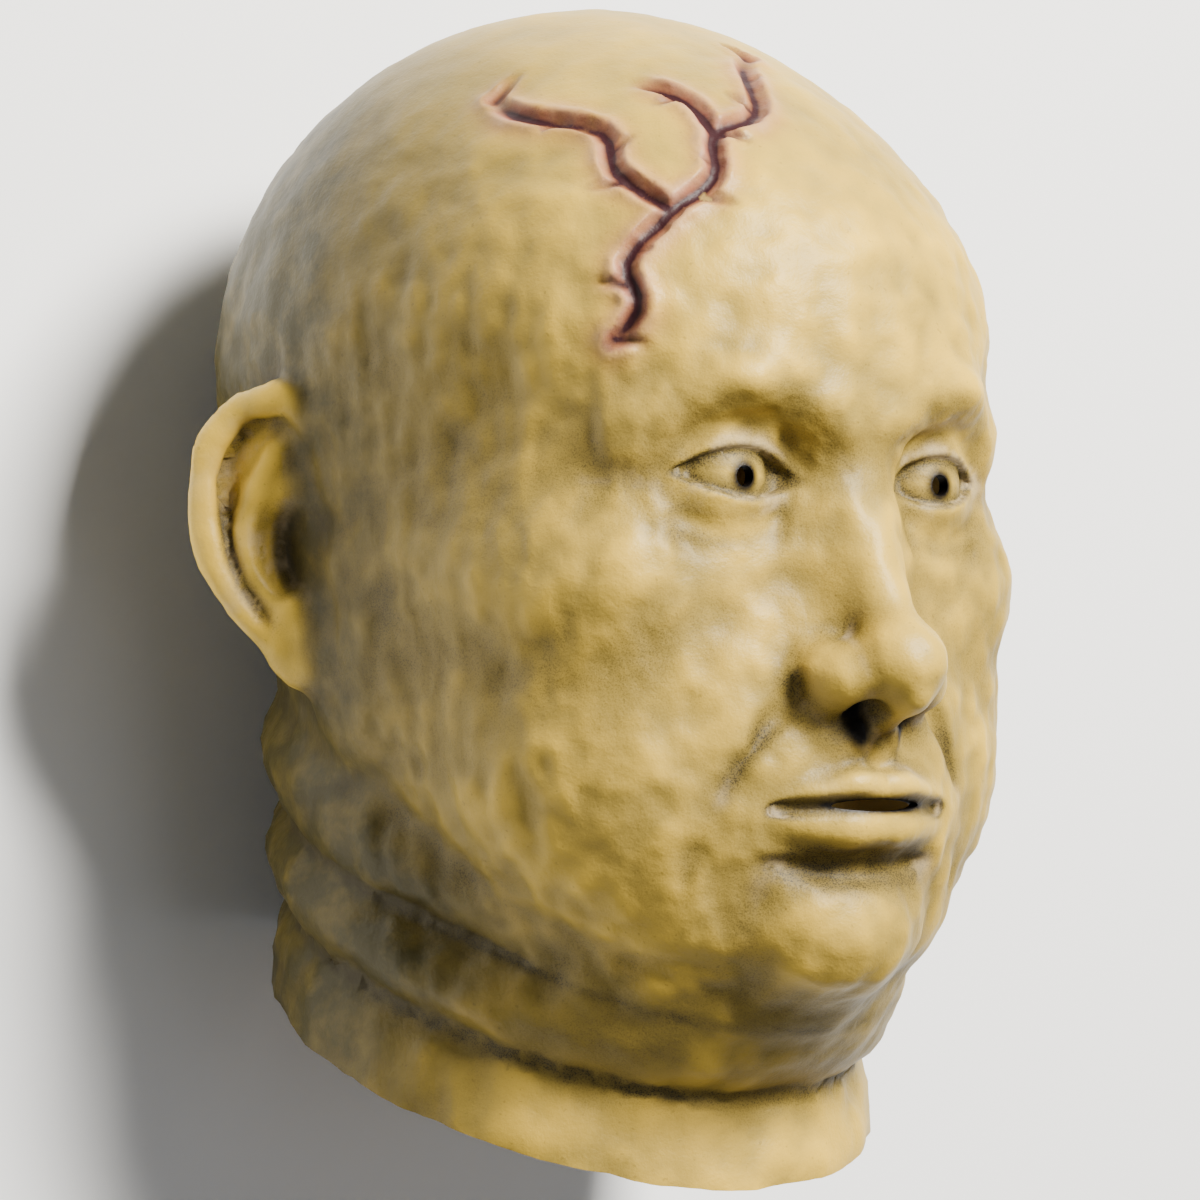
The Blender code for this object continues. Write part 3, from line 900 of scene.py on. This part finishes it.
def neighbours_mean(values: Array, edges: npt.NDArray[np.int64]) -> Array:
    """Gives the mean of each vertex's neighbours.

    Args:
        values: A row for each vertex.
        edges: The edges that join them.

    Returns:
        A row for each vertex.
    """
    near, far = np.concatenate([edges, edges[:, ::-1]]).T
    count = np.maximum(np.bincount(near, minlength=len(values)), 1)
    columns = [np.bincount(near, weights=column[far], minlength=len(values)) / count for column in values.T]
    return np.stack(columns, axis=1)


@dataclass
class Clay:
    """A body of clay that is remeshed and moved onto the drawing.

    Attributes:
        form: The field to follow.
        balls: The rough balls to start from.
        ears: The ears to leave clay for, if any.
    """

    form: Measure
    balls: tuple[Ball, ...] = (
        Ball((0, 20, 38), (96, 114, 99.5)),
        Ball((0, -40, 20), (78, 60, 76)),
        Ball((0, -28, -50), (84, 74, 86)),
        Ball((0, 22, -28), (88, 86, 66)),
        Ball((0, 25, -150), (82, 82, 110)),
        Ball((0, -104, -46), (15, 24, 18)),
        Ball((0, -84, -120), (27, 19, 17.5)),
    )
    ears: Ears | None = None
    mesh: bpy.types.Mesh = field(init=False)

    def __post_init__(self) -> None:
        """Piles up the balls."""
        clay = bmesh.new()
        for ball in self.balls:
            place = Matrix.Translation(ball.centre) @ Matrix.Diagonal((*ball.radii, 1))
            bmesh.ops.create_icosphere(clay, subdivisions=4, radius=1.0, matrix=place)
        if self.ears:
            self.add_ear_clay(clay)
        bmesh.ops.recalc_face_normals(clay, faces=clay.faces)
        self.mesh = bpy.data.meshes.new("clay")
        clay.to_mesh(self.mesh)
        clay.free()

    def add_ear_clay(self, clay: bmesh.types.BMesh) -> None:
        """Adds a fat lobe on each side that holds the whole ear."""
        back, up, out = self.ears.axes()
        centre = np.array(self.ears.place) + 6 * back + up + 6 * out
        for side in (1, -1):
            place = Matrix.Identity(4)
            for column, arrow in enumerate((out * 14, back * 27, up * 43)):
                arrow = arrow * self.ears.size
                place.col[column] = (side * arrow[0], arrow[1], arrow[2], 0)
            place.col[3] = (side * centre[0], centre[1], centre[2], 1)
            bmesh.ops.create_icosphere(clay, subdivisions=4, radius=1.0, matrix=place)

    def remesh(self, voxel: float) -> None:
        """Makes the body one even mesh with faces this wide."""
        self.mesh = modified(self.mesh, "REMESH", mode="VOXEL", voxel_size=voxel)

    def settle(self, rounds: int, reach: float) -> None:
        """Moves the vertices onto the surface where the field is zero.

        Args:
            rounds: How often they move. They are evened out on the way, but for the last two.
            reach: How far they move at most in one round.
        """
        points, edges = corners_of(self.mesh), links_of(self.mesh)
        for turn in range(rounds):
            value, gradient = slope(self.form, points)
            steepness = np.maximum(length(gradient), 0.3)
            normals = gradient / steepness[:, None]
            points = points - np.clip(value / steepness, -reach, reach)[:, None] * normals
            if turn < rounds - 2:
                move = neighbours_mean(points, edges) - points
                points = points + 0.5 * (move - (move * normals).sum(axis=1)[:, None] * normals)
        self.mesh.vertices.foreach_set("co", points.ravel())
        self.mesh.update()

    def refine(self, zone: Callable[[Array], npt.NDArray[np.bool_]]) -> None:
        """Halves the faces whose corners all lie in a zone."""
        inside = zone(corners_of(self.mesh))
        body = bmesh.new()
        body.from_mesh(self.mesh)
        body.verts.ensure_lookup_table()
        edges = [edge for edge in body.edges if inside[edge.verts[0].index] and inside[edge.verts[1].index]]
        bmesh.ops.subdivide_edges(body, edges=edges, cuts=1, use_grid_fill=True)
        body.to_mesh(self.mesh)
        body.free()

    def lift(self, heights: Array) -> None:
        """Lifts each vertex along the field's slope."""
        points = corners_of(self.mesh)
        _, gradient = slope(self.form, points)
        points = points + heights[:, None] * gradient / np.maximum(length(gradient), 0.3)[:, None]
        self.mesh.vertices.foreach_set("co", points.ravel())
        self.mesh.update()

    def cut(self, low: tuple[float, float], high: tuple[float, float]) -> bmesh.types.BMesh:
        """Cuts off what lies under the plane through two (y, z) points.

        Args:
            low: The first point.
            high: The other one.

        Returns:
            The body, open there.
        """
        body = bmesh.new()
        body.from_mesh(self.mesh)
        bpy.data.meshes.remove(self.mesh)
        normal = Vector((0, low[1] - high[1], high[0] - low[0]))
        bmesh.ops.bisect_plane(
            body,
            geom=[*body.verts, *body.edges, *body.faces],
            dist=0.01,
            plane_co=(0, *low),
            plane_no=normal,
            clear_inner=True,
        )
        return body


class Socket:
    """A value or colour that comes out of a node, with the maths that shaders need."""

    def __init__(self, graph: "Graph", output: bpy.types.NodeSocket) -> None:
        """Holds one output of a graph's node."""
        self.graph = graph
        self.output = output

    def math(self, operation: str, *others: "Socket | float", clamp: bool = False) -> "Socket":
        """Adds a Math node that starts with this value.

        Args:
            operation: What the node works out.
            others: Its other values.
            clamp: Whether the result is kept between 0 and 1.

        Returns:
            The result.
        """
        settings = {"operation": operation, "use_clamp": clamp}
        return self.graph.node("ShaderNodeMath", settings, (self, *others))

    def __add__(self, other: "Socket | float") -> "Socket":
        """Adds a value."""
        return self.math("ADD", other)

    __radd__ = __add__

    def __sub__(self, other: "Socket | float") -> "Socket":
        """Takes a value away."""
        return self.math("SUBTRACT", other)

    def __rsub__(self, other: float) -> "Socket":
        """Takes this value away from a number."""
        return self.graph.node("ShaderNodeMath", {"operation": "SUBTRACT"}, (other, self))

    def __mul__(self, other: "Socket | float") -> "Socket":
        """Multiplies by a value."""
        return self.math("MULTIPLY", other)

    __rmul__ = __mul__

    def clamped(self) -> "Socket":
        """Keeps the value between 0 and 1."""
        return self.math("ADD", 0.0, clamp=True)

    def step(self, low: float, high: float) -> "Socket":
        """Gives 0 under low, 1 over high, and a smooth rise between them."""
        settings = {"interpolation_type": "SMOOTHSTEP", "clamp": True}
        inputs = {"Value": self, "From Min": low, "From Max": high}
        return self.graph.node("ShaderNodeMapRange", settings, inputs)


class Graph:
    """A material's nodes."""

    def __init__(self, name: str) -> None:
        """Starts a material with only its shader."""
        self.material = bpy.data.materials.new(name)
        self.material.use_nodes = True
        self.tree = self.material.node_tree
        self.shader = self.tree.nodes["Principled BSDF"]

    def node(
        self,
        kind: str,
        settings: dict[str, object],
        inputs: "tuple[object, ...] | dict[str | int, object]" = (),
        output: str | int = 0,
    ) -> Socket:
        """Adds any node.

        Args:
            kind: The node's type.
            settings: Its own settings, set first.
            inputs: The values or links of its sockets, in order or by name.
            output: Which of its outputs to give.

        Returns:
            That output.
        """
        node = self.tree.nodes.new(kind)
        for name, value in settings.items():
            setattr(node, name, value)
        pairs = inputs.items() if isinstance(inputs, dict) else enumerate(inputs)
        for key, value in pairs:
            self.feed(node.inputs[key], value)
        return Socket(self, node.outputs[output])

    def feed(self, socket: bpy.types.NodeSocket, value: object) -> None:
        """Links or sets one socket."""
        if isinstance(value, Socket):
            self.tree.links.new(value.output, socket)
        elif isinstance(value, tuple) and len(value) == 3 and socket.type == "RGBA":
            socket.default_value = (*value, 1.0)
        else:
            socket.default_value = value

    def mix(self, factor: "Socket | float", first: "Socket | Colour", second: "Socket | Colour") -> Socket:
        """Mixes two colours, with all of the second where the factor is 1."""
        settings = {"data_type": "RGBA", "clamp_factor": True}
        return self.node("ShaderNodeMix", settings, {0: factor, 6: first, 7: second}, 2)

    def attribute(self, name: str) -> Socket:
        """Reads a number that the mesh carries."""
        return self.node("ShaderNodeAttribute", {"attribute_name": name}, (), "Fac")

    def noise(self, place: Socket, scale: float, detail: float = 2.0, roughness: float = 0.5) -> Socket:
        """Reads noise between 0 and 1."""
        inputs = {"Vector": place, "Scale": scale, "Detail": detail, "Roughness": roughness}
        return self.node("ShaderNodeTexNoise", {}, inputs, "Fac")


def linear(red: int, green: int, blue: int) -> Colour:
    """Gives a screen colour, from 0 to 255, as the shader wants it."""
    shares = (value / 255 for value in (red, green, blue))
    return tuple(s / 12.92 if s <= 0.04045 else ((s + 0.055) / 1.055) ** 2.4 for s in shares)


@dataclass(frozen=True)
class PaintedLatex:
    """Cream latex with an olive airbrush and painted shade in its hollows, on its sides and in its holes,
    speckle, dry-brushed ridges with a painted sheen, and a scar.

    Attributes:
        cream: The paint on what stands out, lighter on crests and lump tops as dry brush and painted
            highlight.
        ochre: The paint on level skin.
        olive: The painted shade on the sides, the back and the neck.
        umber: The airbrush and painted shade in the hollows, and the speckle.
        drybrush_and_sheen: The dry brush and painted sheen along the ridges and on the scar's lips.
        rose: The halo round the scar.
        plum: The cut of the scar.
        hole_shade: The painted shade on the walls and rims of the pupils, the nostrils and the mouth, and a
            dark ring round the pupils.
        bare: The unpainted latex inside.
    """

    cream: Colour = linear(224, 185, 65)
    ochre: Colour = linear(164, 139, 61)
    olive: Colour = linear(66, 59, 24)
    umber: Colour = linear(58, 50, 27)
    drybrush_and_sheen: Colour = linear(206, 184, 146)
    rose: Colour = linear(176, 92, 78)
    plum: Colour = linear(44, 16, 22)
    hole_shade: Colour = linear(14, 10, 8)
    bare: Colour = linear(150, 124, 70)

    def dress(self) -> bpy.types.Material:
        """Makes the material."""
        graph = Graph("painted_latex")
        place = graph.node("ShaderNodeTexCoord", {}, (), "Object")
        # How shut in the skin is over each point; the hollows get airbrush and painted shade.
        dips = graph.attribute("pit") * 1.2 + graph.attribute("dip") * 1.1 + graph.attribute("dell") * 0.35
        crests = graph.attribute("edge") * 0.5 + graph.attribute("crest") * 0.7
        relief = graph.attribute("relief")
        side, cut = graph.attribute("side"), graph.attribute("cut")
        lips, sore = graph.attribute("lips"), graph.attribute("sore")
        clouds = graph.noise(place, 22.0, 3.0)
        mottle = graph.noise(place, 75.0, 4.0, 0.6)
        spots = graph.noise(place, 2300.0, 2.0, 0.6)
        specks = graph.noise(place, 620.0, 1.0)

        # Lighter on the crests and the tops of the mould's lumps, as dry brush and painted highlight; the
        # painted shade of the sides and the hollows darkens it.
        stands_out = 0.36 + crests * 0.5 + (relief - 0.5) * 0.9 + (clouds - 0.5) * 0.9 + (mottle - 0.5) * 0.5
        stands_out = stands_out + graph.attribute("ear") * 0.3
        colour = graph.mix((stands_out - side * 0.6 - dips * 0.8).clamped(), self.ochre, self.cream)
        # Painted shade: the sides, the back and the neck turn olive.
        colour = graph.mix((side * (0.95 + (mottle - 0.5) * 0.9)).clamped(), colour, self.olive)
        # Painted shade in the low spots of the mould's lumps, stronger on the sides.
        relief_hollow_shade = (0.5 - relief) * (0.25 + side * 0.7)
        # The umber in the hollows is airbrush and painted shade.
        sunk = (dips * (0.9 + (mottle - 0.5) * 0.9) - 0.08 + relief_hollow_shade).clamped()
        stipple = spots.step(0.46, 0.70)
        colour = graph.mix((sunk * (0.72 + stipple * 0.5)).clamped(), colour, self.umber)
        colour = graph.mix(stipple * (0.06 + sunk * 0.3 + side * 0.1), colour, self.umber)
        colour = graph.mix(specks.step(0.70, 0.78) * 0.25, colour, self.umber)
        # Dry brush and painted sheen along the ridges.
        ridge = (crests.step(0.25, 0.7) * mottle.step(0.42, 0.62) * 0.4).clamped()
        colour = graph.mix(ridge, colour, self.drybrush_and_sheen)
        colour = graph.mix((sore * (0.65 + (mottle - 0.5) * 1.2)).clamped(), colour, self.rose)
        # Pale dry brush and painted highlight on the scar's lips.
        colour = graph.mix((lips * (mottle - 0.3) * 0.9).clamped(), colour, self.drybrush_and_sheen)
        colour = graph.mix((cut * (1.6 + (mottle - 0.5) * 1.6) - 0.3).clamped(), colour, self.plum)
        colour = graph.mix(graph.attribute("hollow"), colour, self.bare)
        # Painted shade on the walls and rims of the holes and between the lips, with a dark ring round the
        # pupils.
        colour = graph.mix(graph.attribute("gap"), colour, self.hole_shade)

        pores = graph.noise(place, 900.0, 2.0, 0.6) * 0.5 + graph.noise(place, 260.0, 3.0, 0.55)
        bump = {"Strength": 0.35, "Distance": 0.0006, "Height": pores}
        normal = graph.node("ShaderNodeBump", {}, bump, "Normal")
        shader = graph.shader.inputs
        graph.feed(shader["Base Color"], colour)
        graph.feed(shader["Roughness"], 0.38 + mottle * 0.12 + sunk * 0.12)
        graph.feed(shader["Normal"], normal)
        shader["Specular IOR Level"].default_value = 0.24
        return graph.material


@dataclass
class Mask:
    """The mask: a closed shell of latex, hollow and open at the neck.

    Attributes:
        head: The drawing.
        relief: What the mould leaves in the skin.
        finish: The paint.
        voxel: How wide the faces of the outside are, before the face is refined.
        hollow_voxel: How wide the faces of the inside are.
        ragged: How far the cut edge of the neck wanders.
    """

    head: Head
    relief: Relief = field(default_factory=Relief)
    finish: PaintedLatex = field(default_factory=PaintedLatex)
    voxel: float = 3.45
    hollow_voxel: float = 5.0
    ragged: float = 1.4

    def front_zone(self, points: Array) -> npt.NDArray[np.bool_]:
        """Tells which points lie on the face, the forehead or the ears."""
        head = mirrored(points)
        face = (head[:, 1] < 5) & (head[:, 2] > -140) & (head[:, 2] < 122)
        ear = (head[:, 0] > 82) & (head[:, 1] > 5) & (np.abs(head[:, 2] + 12) < 50) & (head[:, 1] < 80)
        return face | ear

    def fine_zone(self, points: Array) -> npt.NDArray[np.bool_]:
        """Tells which points lie on the eyes, the nose, the mouth or the scar."""
        head = mirrored(points)
        fine = np.zeros(len(points), bool)
        for low, high in (
            ((10, -125, -20), (60, -68, 24)),
            ((-1, -140, -72), (27, -85, -34)),
            ((-1, -130, -102), (38, -80, -72)),
        ):
            fine |= ((head > low) & (head < high)).all(axis=1)
        cut, lips, _ = self.head.scar.marks(points)
        return fine | (cut > 0.05) | (lips > 0.35)

    def outside(self) -> bmesh.types.BMesh:
        """Carves the outside."""
        clay = Clay(self.head.skin, ears=self.head.ears)
        for voxel, rounds, reach in ((4.0, 8, 6.0), (3.3, 5, 2.0), (self.voxel, 5, 2.0)):
            clay.remesh(voxel)
            clay.settle(rounds, reach)
        clay.refine(self.front_zone)
        clay.settle(4, 1.5)
        clay.refine(self.fine_zone)
        clay.settle(7, 1.0)
        clay.lift(self.relief.height(corners_of(clay.mesh)))
        return clay.cut(self.head.rim_front, self.head.rim_back)

    def inside(self) -> bmesh.types.BMesh:
        """Carves the hollow and turns it to face inwards."""
        clay = Clay(self.head.hollow)
        for voxel, rounds, reach in ((4.0, 8, 6.0), (self.hollow_voxel, 8, 2.0)):
            clay.remesh(voxel)
            clay.settle(rounds, reach)
        body = clay.cut(self.head.rim_front, self.head.rim_back)
        bmesh.ops.reverse_faces(body, faces=body.faces)
        return body

    def shell(self) -> bpy.types.Mesh:
        """Joins the outside to the hollow at the cut edge, cuts the holes and splits big faces."""
        body, hollow = self.outside(), self.inside()
        lining = bpy.data.meshes.new("lining")
        hollow.to_mesh(lining)
        hollow.free()
        body.from_mesh(lining)
        bpy.data.meshes.remove(lining)
        edge = [link for link in body.edges if link.is_boundary]
        bmesh.ops.triangle_fill(body, edges=edge, use_beauty=True)
        bmesh.ops.recalc_face_normals(body, faces=body.faces)
        mesh = bpy.data.meshes.new(PIECE_NAME)
        body.to_mesh(mesh)
        body.free()
        tools = bmesh.new()
        for hole in Hole:
            for side in (1, -1) if hole is not Hole.MOUTH else (1,):
                hole.cut_with(tools, side)
        tool_mesh = bpy.data.meshes.new("tools")
        tools.to_mesh(tool_mesh)
        tools.free()
        cutter = bpy.data.objects.new("tools", tool_mesh)
        bpy.context.scene.collection.objects.link(cutter)
        mesh = modified(mesh, "BOOLEAN", operation="DIFFERENCE", solver="EXACT", object=cutter)
        bpy.data.objects.remove(cutter)
        body = bmesh.new()
        body.from_mesh(mesh)
        bmesh.ops.triangulate(body, faces=[face for face in body.faces if len(face.verts) > 4])
        body.to_mesh(mesh)
        body.free()
        return mesh

    def measures(self, mesh: bpy.types.Mesh) -> dict[str, Array]:
        """Works out what the paint goes by, for each vertex of the upright mesh.

        Args:
            mesh: The mask, still upright and in millimetres.

        Returns:
            A value from 0 to 1 for each vertex. pit, dip and dell say how much of the room is
            taken 1.5, 5 and 12 mm over it, edge and crest how thin the form is 2 and 6 mm under
            it, and relief how far the mould's lumps lift it. Shade is painted by pit, dip, dell,
            side and gap.
        """
        points = corners_of(mesh)
        level, gradient = slope(self.head.skin, points)
        normals = gradient / np.maximum(length(gradient), 0.3)[:, None]
        reaches = {"pit": 1.5, "dip": 5.0, "dell": 12.0, "edge": -2.0, "crest": -6.0}
        values = {
            name: np.clip(1 - (self.head.skin(points + reach * normals) - level) / reach, 0, 1)
            for name, reach in reaches.items()
        }
        # Where shade is painted olive: the sides, the back and, below, the neck roll.
        side = np.clip((np.abs(points[:, 0]) - 30) / 60, 0, 1) * np.clip((points[:, 1] + 70) / 90, 0, 1)
        up = self.head.over_rim(points)
        # Painted shade on the neck roll under the jaw.
        neck = 0.45 * np.exp(-(((up - 45) / 26) ** 2))
        on_neck = np.exp(-((self.head.neck(mirrored(points)) / 3) ** 2))
        # Painted shade along the neck's two creases, added to pit.
        crease = on_neck * (np.exp(-np.abs(up - 23) / 2.0) + np.exp(-np.abs(up - 47.5) / 2.0))
        values["pit"] = np.clip(values["pit"] + 0.7 * crease, 0, 1)
        side = np.clip(side + np.clip((points[:, 1] - 20) / 70, 0, 1) * 0.8 + neck, 0, 1)
        ear = np.clip(self.head.without_ears(points) / 4 - 0.2, 0, 1)
        values["dip"], values["dell"] = values["dip"] * (1 - 0.6 * ear), values["dell"] * (1 - ear)
        side = side * (1 - ear)
        sunk, outward = slope(self.head.scar.base, points)
        flat = points - (sunk / np.maximum((outward**2).sum(axis=1), 0.3))[:, None] * outward
        cut, lips, sore = self.head.scar.marks(flat)
        under = self.head.without_ears(points) < -0.55 * self.head.wall
        relief = np.clip(0.5 + 0.5 * self.relief.height(points), 0, 1)
        marks = {"side": side, "ear": ear, "gap": self.head.gaps(points), "relief": relief}
        marks |= {"cut": cut, "lips": lips, "sore": sore}
        return values | marks | {"hollow": under.astype(float)}

    def fray(self, mesh: bpy.types.Mesh) -> None:
        """Lets the cut edge of the neck wander as a hand-cut edge does."""
        points = corners_of(mesh)
        up = self.head.over_rim(points)
        wander = noise_at(points, (26, 26, 26), 7.0) + 0.4 * noise_at(points, (7, 7, 7), 8.0)
        deep, high = Vector(self.head.rim_back) - Vector(self.head.rim_front)
        normal = Vector((0, -high, deep))
        share = self.ragged * wander * np.clip(1 - up / 9, 0, 1)
        points = points + share[:, None] * np.array(normal.normalized())
        mesh.vertices.foreach_set("co", points.ravel())
        mesh.update()

    def build(self) -> bpy.types.Object:
        """Builds the mask, lays it on its back and paints it."""
        mesh = self.shell()
        values = self.measures(mesh)
        self.fray(mesh)
        mesh.transform(self.head.lying())
        heights = corners_of(mesh)
        heights[:, 2] = np.maximum(heights[:, 2], 0)
        mesh.vertices.foreach_set("co", heights.ravel())
        for name, column in values.items():
            attribute = mesh.attributes.new(name, "FLOAT", "POINT")
            attribute.data.foreach_set("value", column)
        mesh.shade_smooth()
        mesh.set_sharp_from_angle(angle=math.radians(62))
        mesh.materials.clear()
        mesh.materials.append(self.finish.dress())
        piece = bpy.data.objects.new(PIECE_NAME, mesh)
        bpy.context.scene.collection.objects.link(piece)
        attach(piece, "root")
        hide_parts(NODE)
        return piece


@dataclass(frozen=True)
class Softbox:
    """A square studio light.

    Attributes:
        name: What it is called.
        place: How far it is from the mask to the camera's right, up and towards it, in metres.
        size: The length of its sides.
        power: Its power in watts.
        colour: Its colour.
    """

    name: str
    place: Triple
    size: float
    power: float
    colour: Colour = (1.0, 1.0, 1.0)


@dataclass
class Studio:
    """The floor, the lights and the camera.

    Attributes:
        azimuth: How far the camera stands round to the mask's right, in degrees.
        elevation: How far it stands over the mask's eye line, in degrees.
        distance: How far it is from the mask.
        frame_share: How much of the picture's height the mask fills.
        floor_size: The length of the floor's sides.
        floor_colour: The colour of the floor.
        lights: The studio's lights.
    """

    head: Head
    azimuth: float = 38.0
    elevation: float = -2.0
    distance: float = 1.35
    frame_share: float = 0.985
    floor_size: float = 8.0
    floor_colour: Colour = (0.91, 0.93, 0.96)
    lights: tuple[Softbox, ...] = (
        Softbox("key_light", (1.0, 0.95, 0.75), 0.5, 100.0, (1.0, 0.95, 0.86)),
        Softbox("fill_light", (-1.3, 0.3, 1.1), 1.2, 4.0),
        Softbox("low_light", (1.2, -0.6, 1.2), 1.0, 4.0),
    )

    def axes(self) -> Matrix:
        """Gives the camera's directions as columns: right, up and towards the camera."""
        round_to, over = math.radians(self.azimuth), math.radians(self.elevation)
        toward = Vector(
            (-math.sin(round_to) * math.cos(over), -math.cos(round_to) * math.cos(over), math.sin(over))
        )
        turn = self.head.lying().to_3x3().normalized()
        toward, crown = (turn @ toward).normalized(), (turn @ Vector((0, 0, 1))).normalized()
        right = crown.cross(toward).normalized()
        return Matrix((right, toward.cross(right), toward)).transposed()

    def build_floor(self) -> bpy.types.Object:
        """Lays the floor, which also fills the background."""
        graph = Graph("pale_floor")
        graph.feed(graph.shader.inputs["Base Color"], self.floor_colour)
        graph.shader.inputs["Roughness"].default_value = 0.9
        sheet = bmesh.new()
        bmesh.ops.create_grid(sheet, x_segments=1, y_segments=1, size=self.floor_size / 2)
        mesh = bpy.data.meshes.new("floor")
        sheet.to_mesh(mesh)
        sheet.free()
        mesh.materials.append(graph.material)
        floor = bpy.data.objects.new("floor", mesh)
        bpy.context.scene.collection.objects.link(floor)
        return floor

    def build_lights(self, middle: Vector) -> None:
        """Hangs the lights round the mask's middle, facing it."""
        axes = self.axes()
        for box in self.lights:
            light = bpy.data.lights.new(box.name, "AREA")
            light.energy, light.size, light.color = box.power, box.size, box.colour
            lamp = bpy.data.objects.new(box.name, light)
            bpy.context.scene.collection.objects.link(lamp)
            arm = axes @ Vector(box.place)
            lamp.location = middle + arm
            lamp.rotation_euler = arm.to_track_quat("Z", "Y").to_euler()
        world = bpy.data.worlds.new("studio")
        world.use_nodes = True
        backdrop = world.node_tree.nodes["Background"]
        backdrop.inputs["Color"].default_value = (1.0, 1.0, 1.0, 1.0)
        backdrop.inputs["Strength"].default_value = 0.14
        bpy.context.scene.world = world

    def build_camera(self, points: Array) -> bpy.types.Object:
        """Sets up the camera so that the mask fills the frame as in the photograph.

        Args:
            points: The mask's vertices.

        Returns:
            The camera.
        """
        axes = self.axes()
        eye = Vector(points.mean(axis=0)) + axes.col[2] * self.distance
        for _ in range(4):
            local = (points - np.array(eye)) @ np.array(axes)
            across, up = local[:, 0] / -local[:, 2], local[:, 1] / -local[:, 2]
            eye = eye + axes.col[0] * (across.max() + across.min()) / 2 * self.distance
            eye = eye + axes.col[1] * (up.max() + up.min()) / 2 * self.distance
        lens = bpy.data.cameras.new("camera")
        lens.sensor_fit = "HORIZONTAL"
        lens.angle = 2 * math.atan((up.max() - up.min()) / 2 / self.frame_share)
        lens.clip_start = 0.05
        camera = bpy.data.objects.new("camera", lens)
        bpy.context.scene.collection.objects.link(camera)
        camera.matrix_world = Matrix.Translation(eye) @ axes.to_4x4()
        bpy.context.scene.camera = camera
        return camera


def main() -> None:
    """Builds the mask and the studio, and reports each piece."""
    logging.basicConfig(level=logging.INFO, format="%(message)s")
    head = Head()
    head.scar = Scar(head)
    mask = Mask(head).build()
    triangles = sum(len(face.vertices) - 2 for face in mask.data.polygons)
    log.info("%s: %d vertices, %d triangles", mask.name, len(mask.data.vertices), triangles)
    studio = Studio(head)
    points = corners_of(mask.data)
    middle = Vector((points.max(axis=0) + points.min(axis=0)) / 2)
    for made in (studio.build_floor(), studio.build_camera(points)):
        log.info("%s", made.name)
    studio.build_lights(middle)


if __name__ == "__main__":
    main()
